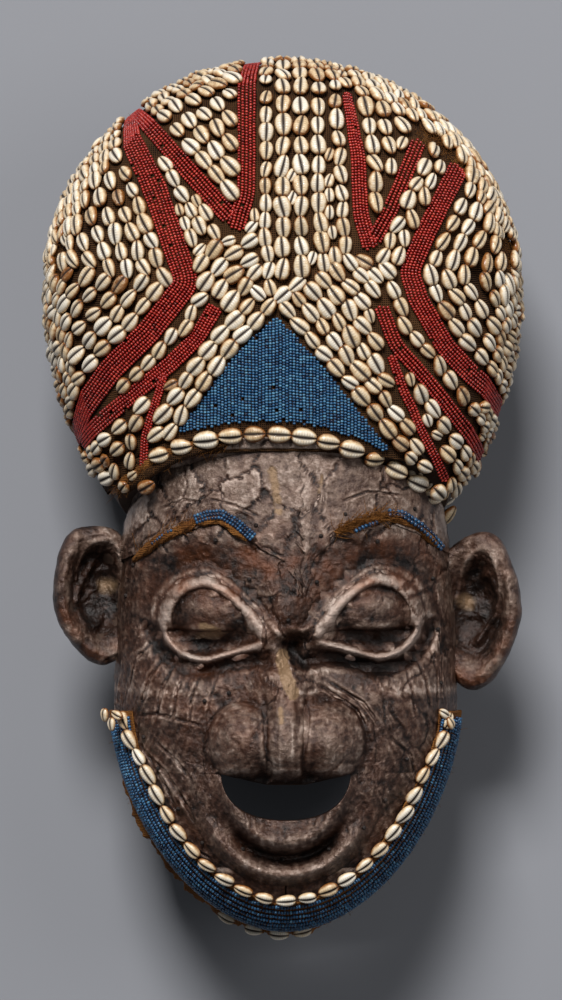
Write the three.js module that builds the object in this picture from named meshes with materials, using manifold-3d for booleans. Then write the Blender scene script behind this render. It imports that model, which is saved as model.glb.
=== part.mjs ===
// Helmet mask: a carved wooden head with a bulbous round crown, the face sheathed in beaten copper,
// the crown covered in raffia cloth and sewn with cowries and glass beads, with a beaded beard.
// Millimetres. It lies on its back: X across the face, Y from the chin to the crown, Z up out of the face.
import * as THREE from "three";
import { mergeVertices } from "three/addons/utils/BufferGeometryUtils.js";
import Module from "manifold-3d";

const wasm = await Module();
wasm.setup();

// Head
const FACE_X = 2;
const HEAD_HALF_WIDTH = 128.5;
const JAW_Y = -146.5;
const JAW_DROP = 174;
const JAW_POINT_Z = 150;
const HEAD_MIDDLE_Z = 105;
const FOREHEAD_Z = 214;
const FOREHEAD_Y = -60;
const HEAD_BACK_Z = -5;
const HEAD_TOP_Y = 100;
const HEAD_ROUNDNESS = 2.3;
const HEAD_SIDE_TAPER = 0.0006;
const FOREHEAD_SLOPE = 0.0009;
const JAW_ROUNDNESS = 1.85;

// Crown
const CROWN_Y = 155;
const CROWN_HALF_WIDTH = 173.4;
const CROWN_UP = 167.4;
const CROWN_DOWN = 240;
const CROWN_MIDDLE_Z = 108.5;
const CROWN_DEPTH = 113.5;
const CROWN_ROUNDNESS = 2.6;

// The crown ends below in a slanted plane, high over the forehead and low at the nape.
const HEM_FRONT_Y = 39;
const HEM_FRONT_Z = 217;
const HEM_SLOPE = 0.52;

// Hollow
const WALL_FACE = 19;
const WALL_SIDE = 16;
const WALL_BACK = 14;
const WALL_CROWN = 20;
const NECK_BACK_Y = -172;
const NECK_SLOPE = 1.1;

// Layers over the wood, each a height above it
const GAP = 0.3;
const SHEET_TOP = 1;
const CLOTH_TOP = 2.9;
const BEAD_BASE = 3.2;
const BAND_BASE = 4.7;
const BAND_ROOM = 0.9;
const STATION_LENGTH = 14;
const BEAD_TOP = 6.4;
const COWRIE_TOP = 8.6;
const BEARD_CLOTH_BASE = 2.8;
const BEARD_CLOTH_TOP = 3.8;
const BEARD_BEAD_BASE = 4.3;
const BEARD_BEAD_TOP = 6.3;
const BEARD_ROW_BASE = 5.4;
const BROW_TOP = 3.9;
const SHEET_EDGE_Z = 128;
const SHELLS_EDGE_Z = 103;
const RIM_SHARE = 0.9;
const RIM_RUN = 0.35;
const CLOTH_EDGE_Z = 14;

// Cowrie
const COWRIE_LENGTH = 17.5;
const COWRIE_SPACING = 15.3;
const COWRIE_WIDTH = 12.5;
const COWRIE_HEIGHT = 8;

// Eyes, nose and mouth, measured from the face's middle line
const EYES = [{ x: -59, y: -92 }, { x: 67, y: -90 }];
const EYE_HALF_WIDTH = 36;
const EYE_HALF_HEIGHT = 33;
const EYE_SOCKET = 10;
const EYE_RIM = 8;
const EYE_BALL = 19;
const NOSE_TOP_Y = -48;
const NOSE_TIP_Y = -184;
const NOSE_FOOT_Y = -214;
const NOSE_HEIGHT = 27;
const NOSTRIL_X = 31;
const NOSTRIL_RADIUS = 27;
const MOUTH_Y = -206;
const MOUTH_HALF_WIDTH = 48;
const MOUTH_DROP = 35;
const MUZZLE_HALF_WIDTH = 66;
const MUZZLE_DROP = 76;

// Ears: the middle, half width, half height and lean of each
const EARS = [
  { x: -141, y: -74, halfWidth: 33, halfHeight: 52, lean: 0.1, side: -1 },
  { x: 146, y: -87, halfWidth: 34, halfHeight: 58, lean: -0.08, side: 1 },
];
const EAR_Z = 118;
const EAR_THICKNESS = 26;
const EAR_TURN = 0.3;

// The cowrie row along the forehead, and the heights where the fields beside it stop
const ROW_LEFT = -94;
const ROW_RIGHT = 124;
const ROW_HALF_WIDTH = 6.8;
const FIELDS_LEFT_Y = 14;
const FIELDS_RIGHT_Y = 12;

// The beard: how far round the jaw it goes, and its lines as shares of the jaw's reach
const JAW_REACH = 1.46;
const JAW_CLOTH_SHARES = [0.79, 0.87, 0.93, 0.965, 0.99, 1, 1.06];
const JAW_BEAD_SHARES = [0.91, 0.945, 0.97, 0.99, 1, 1.02];
const JAW_ROW_SHARE = 0.84;

// Bands of beads on the crown, as lines in X and Y
const LEFT_V = [[-26.4, 368], [-27, 222], [-35, 196]];
const LEFT_V_ARM = [[-38, 204], [-70, 240], [-140, 322]];
const LEFT_ZIGZAG = [[-141, 328], [-94, 227], [-70, 157], [-99.4, 119.3], [-125.8, 93.8], [-153, 57], [-185, 14]];
const LEFT_LOOP = [[-49, 140], [-63, 116], [-82, 97.5], [-104, 80], [-133, 56], [-163, 29]];
const LEFT_BRANCH = [[-86, 92], [-100.9, 44], [-101.7, 18]];
const RIGHT_V = [[46.5, 297], [55, 249], [56.5, 208], [64, 182]];
const RIGHT_V_ARM = [[66, 188], [77.6, 208], [99.5, 262]];
const RIGHT_ZIGZAG = [[129, 244], [104.7, 195], [92, 165], [98.6, 145], [118, 111], [138, 90], [190, 46]];
const RIGHT_LOOP = [[71.5, 140], [82, 112], [112, 78], [132, 52], [170, 8]];
const RIGHT_BRANCH = [[79, 104], [88, 78], [94, 66], [100, 51], [112, 27.5], [119, 12]];
const TRIANGLE_TOP = [-4.5, 133];
const BANDS_MEET = [[-132, 279], [-110, 279], [-110, 302], [-132, 302]];
const BARE_PATCH = [[96, 276], [118, 270], [134, 253], [141, 234], [127, 243], [109, 254], [96, 260]];

// The lower edge of the forehead sheet, along the brows and down to a point between them
const FOREHEAD_EDGE = [[-150, -62], [-93, -36], [-64, -23], [-46, -19], [-24, -34], [0, -44], [12, -50],
  [22, -44], [38, -33], [52, -27], [80, -20], [101, -28], [150, -50]];

// The brows, from the left to the right
const LEFT_BROW = [[-112, -48], [-93.4, -32], [-64, -18.4], [-45.9, -14.7], [-23.3, -31.2]];
const RIGHT_BROW = [[38.4, -27.5], [52, -22.2], [79.8, -15.4], [101, -24], [117.5, -40.3]];

const WOOD = { color: 0x3f2c22, roughness: 0.6, metalness: 0 };
const COPPER = { color: 0x54403a, roughness: 0.45, metalness: 0.7 };
const RAFFIA = { color: 0x6b4a2c, roughness: 0.95, metalness: 0 };
const RED_GLASS = { color: 0x982524, roughness: 0.3, metalness: 0 };
const BLUE_GLASS = { color: 0x245a8a, roughness: 0.3, metalness: 0 };
const SHELL = { color: 0xe6dccb, roughness: 0.4, metalness: 0 };

const mask = new THREE.Group();

// The height left on a rounded section at a share of its half width.
function roundOff(share, roundness) {
  return Math.pow(Math.max(0, 1 - Math.pow(Math.abs(share), roundness)), 1 / roundness);
}

function bump(distance, width) {
  return Math.exp(-((distance / width) ** 2));
}

function dome(x, y, halfWidth, halfHeight) {
  return Math.sqrt(Math.max(0, 1 - (x / halfWidth) ** 2 - (y / halfHeight) ** 2));
}

// A smooth step from 0 at the first value to 1 at the second, which may be the lower.
function ramp(first, second, value) {
  const share = THREE.MathUtils.clamp((value - first) / (second - first), 0, 1);
  return share * share * (3 - 2 * share);
}

function solidFrom(points, triangles) {
  const vertProperties = new Float32Array(points.flatMap((point) => [point.x, point.y, point.z]));
  const triVerts = new Uint32Array(triangles);
  return new wasm.Manifold(new wasm.Mesh({ numProp: 3, vertProperties, triVerts }));
}

function solidOf(geometry) {
  const bare = geometry.index ? geometry.toNonIndexed() : geometry.clone();
  bare.deleteAttribute("normal");
  bare.deleteAttribute("uv");
  const merged = mergeVertices(bare, 1e-4);
  const vertProperties = new Float32Array(merged.attributes.position.array);
  const triVerts = new Uint32Array(merged.index.array);
  return new wasm.Manifold(new wasm.Mesh({ numProp: 3, vertProperties, triVerts }));
}

function addPiece(name, solid, finish) {
  const { vertProperties, triVerts } = solid.getMesh();
  const geometry = new THREE.BufferGeometry();
  geometry.setAttribute("position", new THREE.BufferAttribute(new Float32Array(vertProperties), 3));
  geometry.setIndex(Array.from(triVerts));
  geometry.computeVertexNormals();
  const piece = new THREE.Mesh(geometry, new THREE.MeshStandardMaterial(finish));
  piece.name = name;
  mask.add(piece);
}

// The triangles that join each ring of points to the next.
function ringSides(ringCount, count) {
  const triangles = [];
  for (let ring = 0; ring < ringCount - 1; ring += 1) {
    for (let side = 0; side < count; side += 1) {
      const here = ring * count + side;
      const next = ring * count + ((side + 1) % count);
      triangles.push(here, next, next + count, here, next + count, here + count);
    }
  }
  return triangles;
}

// A closed solid from rings of equal length, each end closed by a fan to a point.
function loft(rings, firstPoint, lastPoint) {
  const count = rings[0].length;
  const points = [...rings.flat(), firstPoint, lastPoint];
  const triangles = ringSides(rings.length, count);
  const lastRing = (rings.length - 1) * count;
  for (let side = 0; side < count; side += 1) {
    const next = (side + 1) % count;
    triangles.push(points.length - 2, next, side);
    triangles.push(points.length - 1, lastRing + side, lastRing + next);
  }
  return solidFrom(points, triangles);
}

// A closed solid from rings that each run out along one side of a layer and back along the other.
function sweep(rings) {
  const count = rings[0].length;
  const triangles = ringSides(rings.length, count);
  const last = (rings.length - 1) * count;
  for (let side = 0; side < count / 2 - 1; side += 1) {
    const far = count - 1 - side;
    triangles.push(side, far, far - 1, side, far - 1, side + 1);
    triangles.push(last + side, last + far - 1, last + far, last + side, last + side + 1, last + far - 1);
  }
  return solidFrom(rings.flat(), triangles);
}

// An upright prism over an outline in X and Y.
function prism(outline, low = -50, high = 400) {
  const shape = new THREE.Shape(outline.map(([x, y]) => new THREE.Vector2(x, y)));
  const geometry = new THREE.ExtrudeGeometry(shape, { depth: high - low, bevelEnabled: false });
  geometry.translate(0, 0, low);
  return solidOf(geometry);
}

function block(low, high) {
  const size = new THREE.Vector3().subVectors(high, low);
  const geometry = new THREE.BoxGeometry(size.x, size.y, size.z);
  geometry.translate((low.x + high.x) / 2, (low.y + high.y) / 2, (low.z + high.z) / 2);
  return solidOf(geometry);
}

// Everything above a height.
function above(z) {
  return block(new THREE.Vector3(-400, -500, z), new THREE.Vector3(400, 500, 500));
}

// A prism along X over an outline in Y and Z.
function crosswise(outline) {
  const shape = new THREE.Shape(outline.map(([y, z]) => new THREE.Vector2(y, z)));
  const geometry = new THREE.ExtrudeGeometry(shape, { depth: 800, bevelEnabled: false });
  geometry.translate(0, 0, -400);
  geometry.applyMatrix4(new THREE.Matrix4().makeBasis(
    new THREE.Vector3(0, 1, 0), new THREE.Vector3(0, 0, 1), new THREE.Vector3(1, 0, 0)));
  return solidOf(geometry);
}

// The part of space above the crown's slanted hem, moved up by a distance.
function aboveHem(rise) {
  const low = -60;
  const high = 400;
  const hemAt = (z) => HEM_FRONT_Y + HEM_SLOPE * (z - HEM_FRONT_Z) + rise;
  return crosswise([[hemAt(low), low], [500, low], [500, high], [hemAt(high), high]]);
}

// A strip of the given widths along a line of points in X and Y.
function strip(line, widths) {
  const left = [];
  const right = [];
  line.forEach(([x, y], index) => {
    const before = line[Math.max(0, index - 1)];
    const after = line[Math.min(line.length - 1, index + 1)];
    const into = new THREE.Vector2(x - before[0], y - before[1]).normalize();
    const out = new THREE.Vector2(after[0] - x, after[1] - y).normalize();
    const along = index === 0 ? out : index === line.length - 1 ? into : into.clone().add(out).normalize();
    const straightness = Math.max(0.45, along.dot(index === 0 ? out : into));
    const width = Array.isArray(widths) ? widths[index] : widths;
    const reach = width / 2 / straightness;
    left.push([x - along.y * reach, y + along.x * reach]);
    right.unshift([x + along.y * reach, y - along.x * reach]);
  });
  return [...left, ...right];
}

// The eyes: a wide socket, a raised rim and a bulging ball that is fullest below.
function eyeRelief(x, y) {
  let height = 0;
  for (const eye of EYES) {
    const across = (x - eye.x) / EYE_HALF_WIDTH;
    const up = (y - eye.y) / EYE_HALF_HEIGHT;
    const reach = Math.hypot(across, up);
    height -= EYE_SOCKET * Math.exp(-((reach / 1.25) ** 4));
    height += EYE_RIM * bump(reach - 0.9, 0.14);
    height += EYE_BALL * Math.sqrt(Math.max(0, 1 - (reach / 0.7) ** 2)) * (1 - 0.2 * up);
  }
  return height;
}

// The nose: a ridge that widens downwards into a round tip and two flaring nostrils.
function noseRelief(x, y) {
  const down = THREE.MathUtils.clamp((NOSE_TOP_Y - y) / (NOSE_TOP_Y - NOSE_TIP_Y), 0, 1);
  const foot = ramp(NOSE_FOOT_Y - 3, NOSE_FOOT_Y + 12, y);
  const start = ramp(NOSE_TOP_Y + 14, NOSE_TOP_Y - 30, y);
  const ridge = (6 + (NOSE_HEIGHT - 6) * down) * Math.exp(-(Math.abs(x / (13 + 10 * down)) ** 2.4)) * start;
  const tip = (NOSE_HEIGHT + 5) * dome(x, y - NOSE_TIP_Y, 26, 30);
  const wings = [-1, 1].map((side) => (
    NOSE_HEIGHT * dome(x - side * NOSTRIL_X, y - NOSE_TIP_Y - 2, NOSTRIL_RADIUS, NOSTRIL_RADIUS)));
  const joined = [ridge, tip, ...wings].reduce((sum, part) => sum + part ** 5, 0) ** 0.2;
  return joined * foot;
}

// The muzzle below the nose: a thick lower lip, a hollow under it and the chin's outer ridge.
function mouthRelief(x, y) {
  const across = x / MUZZLE_HALF_WIDTH;
  const down = (MOUTH_Y - y) / MUZZLE_DROP;
  const reach = Math.hypot(across, down);
  const below = ramp(-0.25, 0.1, down);
  const middle = ramp(0.75, 0.35, Math.abs(across));
  const lip = 11 * bump(reach - 0.68, 0.11);
  const hollow = -10 * bump(reach - 0.85, 0.075) * middle * ramp(0, 0.4, down);
  const ridge = 7 * bump(reach - 1, 0.09);
  const swell = 5 * Math.exp(-((reach / 1.1) ** 6));
  return (lip + hollow + ridge + swell) * below;
}

function cheekRelief(x, y) {
  const cheeks = 6 * bump(Math.abs(x) - 82, 34) * bump(y + 165, 44);
  const brow = 4 * bump(Math.abs(x) - 62, 40) * bump(y + 28 + 0.004 * (Math.abs(x) - 50) ** 2, 12);
  return cheeks + brow;
}

// The head's section at a height up the face, swelled by a thickness: its half width, front, middle and back.
function headSection(y, swell) {
  if (y >= JAW_Y) {
    return {
      y,
      halfWidth: HEAD_HALF_WIDTH + swell - HEAD_SIDE_TAPER * (y - JAW_Y) ** 2,
      front: FOREHEAD_Z + swell - FOREHEAD_SLOPE * (y - FOREHEAD_Y) ** 2 * (y > FOREHEAD_Y ? 1 : 0),
      middle: HEAD_MIDDLE_Z,
      back: HEAD_BACK_Z - swell,
    };
  }
  const drop = (JAW_Y - y) / JAW_DROP;
  return {
    y: JAW_Y - drop * (JAW_DROP + swell),
    halfWidth: (HEAD_HALF_WIDTH + swell) * roundOff(drop, JAW_ROUNDNESS),
    front: JAW_POINT_Z + (FOREHEAD_Z + swell - JAW_POINT_Z) * (1 - drop ** 3) ** 0.4545,
    middle: HEAD_MIDDLE_Z + (JAW_POINT_Z - HEAD_MIDDLE_Z) * drop ** 2,
    back: JAW_POINT_Z + (HEAD_BACK_Z - swell - JAW_POINT_Z) * roundOff(drop, 2.5),
  };
}

// The height of the face at a point, measured from the middle line.
function faceHeight(x, y, swell) {
  const section = headSection(y, swell);
  const share = THREE.MathUtils.clamp(x / section.halfWidth, -1, 1);
  const carved = eyeRelief(x, y) + noseRelief(x, y) + mouthRelief(x, y) + cheekRelief(x, y);
  const fade = ramp(1, 0.82, Math.abs(share)) * ramp(JAW_Y - JAW_DROP, JAW_Y - 0.8 * JAW_DROP, y);
  return section.middle + (section.front - section.middle) * roundOff(share, HEAD_ROUNDNESS) + carved * fade;
}

// Shares of the half width from one edge of the front to the other, even across the face and close at the edges.
function frontShares() {
  const half = [];
  for (let step = 0; step <= 8; step += 1) {
    half.push(0.088 * step);
  }
  for (let step = 1; step <= 4; step += 1) {
    half.push(0.704 + 0.296 * Math.sin((Math.PI / 8) * step));
  }
  return [...half.slice(1).reverse().map((share) => -share), ...half];
}

function backShares(count) {
  const shares = [];
  for (let step = 1; step < count; step += 1) {
    shares.push(Math.cos((Math.PI * step) / count));
  }
  return shares;
}

// Heights up the face: close at the mouth and the eyes, wide on the cheeks and the forehead.
function headRows() {
  const zones = [
    { from: -319.5, to: -310, steps: 2 },
    { from: -310, to: -214, steps: 10 },
    { from: -214, to: -130, steps: 7 },
    { from: -130, to: -55, steps: 8 },
    { from: -55, to: 45, steps: 4 },
  ];
  const rows = [];
  for (const zone of zones) {
    for (let step = 0; step < zone.steps; step += 1) {
      rows.push(zone.from + ((zone.to - zone.from) * step) / zone.steps);
    }
  }
  return [...rows, 45, HEAD_TOP_Y];
}

function headSolid(swell) {
  const rings = headRows().map((y) => {
    const section = headSection(y, swell);
    const front = frontShares().map((share) => {
      const x = share * section.halfWidth;
      return new THREE.Vector3(FACE_X + x, section.y, faceHeight(x, y, swell));
    });
    const back = backShares(8).map((share) => {
      const z = section.middle + (section.back - section.middle) * roundOff(share, HEAD_ROUNDNESS);
      return new THREE.Vector3(FACE_X + share * section.halfWidth, section.y, z);
    });
    return [...front, ...back];
  });
  const jawPoint = new THREE.Vector3(FACE_X, JAW_Y - JAW_DROP - swell, JAW_POINT_Z);
  return loft(rings, jawPoint, new THREE.Vector3(FACE_X, HEAD_TOP_Y, HEAD_MIDDLE_Z));
}

// The crown's half width and half depth at a height, swelled by a thickness.
function crownSection(y, swell) {
  const up = y > CROWN_Y;
  const share = (y - CROWN_Y) / ((up ? CROWN_UP : CROWN_DOWN) + swell);
  return {
    halfWidth: (CROWN_HALF_WIDTH + swell) * roundOff(share, up ? 2 : 1.9),
    halfDepth: (CROWN_DEPTH + swell) * roundOff(share, up ? CROWN_ROUNDNESS : 2.1),
  };
}

function crownHeight(x, y, swell) {
  const section = crownSection(y, swell);
  const share = THREE.MathUtils.clamp(x / section.halfWidth, -1, 1);
  return CROWN_MIDDLE_Z + section.halfDepth * roundOff(share, CROWN_ROUNDNESS);
}

function crownSolid(swell) {
  const rowCount = 12;
  const frontCount = 12;
  const backCount = 6;
  const rings = [];
  for (let row = 1; row < rowCount; row += 1) {
    const turn = -Math.PI / 2 + (Math.PI * row) / rowCount;
    const reach = (turn > 0 ? CROWN_UP : CROWN_DOWN) + swell;
    const y = CROWN_Y + reach * Math.sin(turn);
    const { halfWidth, halfDepth } = crownSection(y, swell);
    const ring = [];
    for (let step = 0; step <= frontCount; step += 1) {
      const share = -Math.cos((Math.PI * step) / frontCount);
      const z = CROWN_MIDDLE_Z + halfDepth * roundOff(share, CROWN_ROUNDNESS);
      ring.push(new THREE.Vector3(share * halfWidth, y, z));
    }
    for (const share of backShares(backCount)) {
      const z = CROWN_MIDDLE_Z - halfDepth * roundOff(share, CROWN_ROUNDNESS);
      ring.push(new THREE.Vector3(share * halfWidth, y, z));
    }
    rings.push(ring);
  }
  const low = new THREE.Vector3(0, CROWN_Y - CROWN_DOWN - swell, CROWN_MIDDLE_Z);
  const top = new THREE.Vector3(0, CROWN_Y + CROWN_UP + swell, CROWN_MIDDLE_Z);
  return loft(rings, low, top);
}

// An ear: a thick dished leaf with a rolled rim and a deep hollow, turned to the front.
function earSolid({ x, y, halfWidth, halfHeight, lean, side }, swell = 0) {
  const profile = [[0, -0.5], [0.7, -0.42], [0.97, -0.1], [1, 0.22], [0.86, 0.5], [0.7, 0.34], [0.5, -0.12], [0, -0.2]];
  const thickness = EAR_THICKNESS + 2 * swell;
  const points = profile.map(([reach, height]) => new THREE.Vector2(reach, height * thickness));
  const geometry = new THREE.LatheGeometry(points, 14);
  geometry.rotateX(Math.PI / 2);
  geometry.scale(halfWidth + swell, halfHeight + swell, 1);
  geometry.rotateY(-side * EAR_TURN);
  geometry.rotateZ(lean);
  geometry.translate(x, y, EAR_Z);
  return solidOf(geometry);
}

// The hollow for the wearer's head, from the slanted neck opening up into the crown.
function hollowSolid() {
  const rows = [-330, -250, -170, -90, -10, 70];
  const rings = rows.map((y) => {
    const section = headSection(Math.max(y, JAW_Y - 0.8 * JAW_DROP), 0);
    const halfWidth = section.halfWidth - WALL_SIDE;
    const front = section.front - WALL_FACE - (y < -220 ? 0.2 * (-220 - y) : 0);
    const back = HEAD_BACK_Z + WALL_BACK;
    const ring = [];
    const count = 14;
    for (let step = 0; step < count; step += 1) {
      const turn = (2 * Math.PI * step) / count;
      const across = -Math.cos(turn);
      const up = Math.sin(turn);
      const z = (front + back) / 2 + Math.sign(up) * ((front - back) / 2) * Math.abs(up) ** 0.8;
      ring.push(new THREE.Vector3(FACE_X + halfWidth * Math.sign(across) * Math.abs(across) ** 0.8, y, z));
    }
    return ring;
  });
  const first = new THREE.Vector3(FACE_X, rows[0], HEAD_MIDDLE_Z);
  const head = loft(rings, first, new THREE.Vector3(FACE_X, rows[rows.length - 1], HEAD_MIDDLE_Z));
  const crown = crownSolid(-WALL_CROWN).intersect(aboveHem(WALL_CROWN));
  return head.add(crown);
}

// The open mouth: straight above under the nose, round below.
function mouthOutline(margin) {
  const outline = [];
  const steps = 8;
  for (let step = 0; step <= steps; step += 1) {
    const turn = Math.PI + (Math.PI * step) / steps;
    const x = (MOUTH_HALF_WIDTH + margin) * Math.sign(Math.cos(turn)) * Math.abs(Math.cos(turn)) ** 0.7;
    const y = MOUTH_Y + (MOUTH_DROP + margin) * Math.sin(turn);
    outline.push([FACE_X + x, y]);
  }
  outline.push([FACE_X + 14, MOUTH_Y - 8 + margin], [FACE_X - 14, MOUTH_Y - 8 + margin]);
  return outline;
}

function neckCut() {
  const low = -60;
  const high = 400;
  const neckAt = (z) => NECK_BACK_Y - NECK_SLOPE * z;
  return crosswise([[neckAt(low), low], [500, low], [500, high], [neckAt(high), high]]);
}

function carvedHead() {
  const crown = crownSolid(0).intersect(aboveHem(0));
  const shell = headSolid(0).intersect(neckCut()).add(crown);
  const ears = EARS.map((ear) => earSolid(ear));
  const mouth = prism(mouthOutline(0), 100);
  return ears.reduce((sum, ear) => sum.add(ear), shell).subtract(hollowSolid()).subtract(mouth)
    .intersect(above(0));
}

// The forehead row's height at a place across it.
function rowY(x) {
  return 47.5 - 0.0017 * Math.abs(x + 15) ** 2.1;
}

function belowRow(rise) {
  const outline = [[-260, -150], [-260, FIELDS_LEFT_Y], [ROW_LEFT, FIELDS_LEFT_Y]];
  const steps = 10;
  for (let step = 0; step <= steps; step += 1) {
    const x = ROW_LEFT + ((ROW_RIGHT - ROW_LEFT) * step) / steps;
    outline.push([x, rowY(x) + rise]);
  }
  outline.push([ROW_RIGHT, FIELDS_RIGHT_Y], [260, FIELDS_RIGHT_Y], [260, -150]);
  return prism(outline);
}

function triangleOutline(inset, baseDrop = 0) {
  const base = [-70, -30, 10, 45, 74].map((x) => [x, rowY(x) + ROW_HALF_WIDTH + 0.5 - baseDrop]);
  const [apexX, apexY] = TRIANGLE_TOP;
  return [[apexX, apexY - inset], [-33 + inset, 108], [-76 + inset, 50], ...base, [81 - inset, 32],
    [40 - inset, 84], [21 - inset, 106]];
}

// The crown's reach at a point, as a share of its outline.
function crownReach(x, y) {
  return Math.hypot(x / CROWN_HALF_WIDTH, (y - CROWN_Y) / (y > CROWN_Y ? CROWN_UP : CROWN_DOWN));
}

// Stations along a line in X and Y. Near the crown's outline and past it they run over the edge, down to the rim.
function stationsOn(line) {
  const stations = [];
  line.slice(1).forEach(([endX, endY], index) => {
    const [startX, startY] = line[index];
    const length = Math.hypot(endX - startX, endY - startY);
    const steps = Math.max(1, Math.round(length / STATION_LENGTH));
    for (let step = index === 0 ? 0 : 1; step <= steps; step += 1) {
      const share = step / steps;
      stations.push({
        x: THREE.MathUtils.lerp(startX, endX, share),
        y: THREE.MathUtils.lerp(startY, endY, share),
        place: index + share,
      });
    }
  });
  stations.forEach((station, index) => {
    const before = stations[Math.max(0, index - 1)];
    const after = stations[Math.min(stations.length - 1, index + 1)];
    station.along = new THREE.Vector2(after.x - before.x, after.y - before.y).normalize();
  });
  return stations.filter(({ x, y }) => crownReach(x, y) < RIM_SHARE + RIM_RUN).map((station) => {
    const reach = crownReach(station.x, station.y);
    const turn = (Math.PI / 2) * Math.max(0, (reach - RIM_SHARE) / RIM_RUN);
    const share = turn > 0 ? (RIM_SHARE + (1 - RIM_SHARE) * Math.sin(turn)) / reach : 1;
    return { ...station, x: station.x * share, y: CROWN_Y + (station.y - CROWN_Y) * share, edge: Math.sin(turn) ** 2 };
  });
}

// One edge of a ribbon over its stations, on the left (1) or the right (-1), swelled over the crown's edge.
function ribbonEdge(stations, widths, side, swell) {
  return stations.map(({ x, y, along, place, edge }) => {
    const half = (side * widthAt(widths, place)) / 2;
    const grown = 1 + (swell / CROWN_HALF_WIDTH) * edge;
    return [(x - along.y * half) * grown, CROWN_Y + (y + along.x * half - CROWN_Y) * grown];
  });
}

// A ribbon of beads on the crown along a line, between two heights above the wood.
function ribbon(line, widths, base, top) {
  const stations = stationsOn(line);
  const edge = (side, swell) => ribbonEdge(stations, widths, side, swell)
    .map(([x, y]) => new THREE.Vector3(x, y, crownHeight(x, y, swell)));
  const sides = [edge(1, base), edge(1, top), edge(-1, top), edge(-1, base)];
  return sweep(stations.map((_, index) => sides.map((side) => side[index])));
}

// The upright prism that a ribbon takes up, with room beside it, carried on past the crown's edge.
function ribbonRoom(line, widths, room) {
  const stations = stationsOn(line);
  const wide = Array.isArray(widths) ? widths.map((width) => width + 2 * room) : widths + 2 * room;
  const beyond = (edge) => {
    const ends = [0, edge.length - 1].map((index) => {
      const [x, y] = edge[index];
      return stations[index].edge > 0.5 ? [[1.2 * x, CROWN_Y + 1.2 * (y - CROWN_Y)]] : [];
    });
    return [...ends[0], ...edge, ...ends[1]];
  };
  return prism([...beyond(ribbonEdge(stations, wide, 1, BEAD_TOP)),
    ...beyond(ribbonEdge(stations, wide, -1, BEAD_TOP)).reverse()]);
}

function widthAt(widths, place) {
  if (!Array.isArray(widths)) {
    return widths;
  }
  const low = Math.min(widths.length - 2, Math.floor(place));
  return THREE.MathUtils.lerp(widths[low], widths[low + 1], place - low);
}

// A layer of the crown's dress between two heights above the wood, down to the rim and the hem.
function crownLayer(base, top) {
  return crownSolid(top).subtract(crownSolid(base))
    .intersect(above(SHELLS_EDGE_Z))
    .intersect(aboveHem(3))
    .subtract(headSolid(BROW_TOP + GAP));
}

// A thin upright wall that parts two fields of cowries, from a height to the crown's top.
function wall(left, right, bottom) {
  return prism([[left, bottom], [right, bottom], [right, 370], [left, 370]]);
}

function buildCrownDress() {
  const cloth = crownSolid(CLOTH_TOP).subtract(crownSolid(GAP))
    .intersect(aboveHem(-2))
    .intersect(above(CLOTH_EDGE_Z))
    .subtract(headSolid(SHEET_TOP + GAP));
  addPiece("crown_cloth", cloth, RAFFIA);

  const beads = crownLayer(BEAD_BASE, BEAD_TOP).subtract(belowRow(ROW_HALF_WIDTH + GAP));
  const off = belowRow(ROW_HALF_WIDTH + GAP).add(headSolid(BROW_TOP + GAP));
  const bands = [
    { name: "red_beads_left_v", lines: [[LEFT_V, 14], [LEFT_V_ARM, [14, 14, 9]]] },
    { name: "red_beads_left_zigzag", lines: [[LEFT_ZIGZAG, [11, 18, 18, 18, 18, 17, 12]]] },
    { name: "red_beads_left_loop", lines: [[LEFT_LOOP, 12], [LEFT_BRANCH, 6]] },
    { name: "red_beads_right_v", lines: [[RIGHT_V, [6, 11, 12, 12]], [RIGHT_V_ARM, 12]] },
    { name: "red_beads_right_zigzag", lines: [[RIGHT_ZIGZAG, 15]] },
    { name: "red_beads_right_loop", lines: [[RIGHT_LOOP, 11], [RIGHT_BRANCH, 7]] },
  ];
  let taken = prism(triangleOutline(-GAP, 4));
  for (const { name, lines } of bands) {
    const ribbons = lines.map(([line, widths]) => ribbon(line, widths, BAND_BASE, BEAD_TOP));
    const band = ribbons.reduce((sum, part) => sum.add(part));
    addPiece(name, band.subtract(taken).subtract(off).intersect(aboveHem(3)), RED_GLASS);
    for (const [line, widths] of lines) {
      taken = taken.add(ribbonRoom(line, widths, BAND_ROOM));
    }
  }
  addPiece("blue_bead_triangle", beads.intersect(prism(triangleOutline(0))), BLUE_GLASS);

  const shells = crownLayer(BEAD_BASE, COWRIE_TOP).subtract(belowRow(ROW_HALF_WIDTH + GAP))
    .subtract(taken).subtract(prism(BARE_PATCH));
  const fields = [
    { name: "cowries_left_v", outline: [...LEFT_V, ...LEFT_V_ARM, [-160, 368]] },
    { name: "cowries_right_v", outline: [[46.5, 368], ...RIGHT_V, ...RIGHT_V_ARM, [94.7, 276], [94.7, 368]] },
    { name: "cowries_left_field", outline: [...LEFT_ZIGZAG, [-240, 20], [-240, 330]] },
    {
      name: "cowries_right_field",
      outline: [[95.3, 360], [95.3, 276], ...RIGHT_ZIGZAG, [240, 20], [240, 360]],
    },
    { name: "cowries_lower_left", outline: [...LEFT_BRANCH, [-101.7, 14], [-240, 14], ...LEFT_LOOP.slice(3).reverse()] },
    { name: "cowries_lower_right", outline: [...RIGHT_BRANCH.slice(1), [166, 8], ...RIGHT_LOOP.slice(1).reverse()] },
  ];
  let rest = shells.subtract(wall(94, 96, 270)).subtract(wall(45.9, 46.8, 280)).subtract(prism(BANDS_MEET));
  for (const { name, outline } of fields) {
    addPiece(name, shells.intersect(prism(outline)), SHELL);
    rest = rest.subtract(prism(outline));
  }
  addPiece("cowries_centre", rest, SHELL);
}

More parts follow.
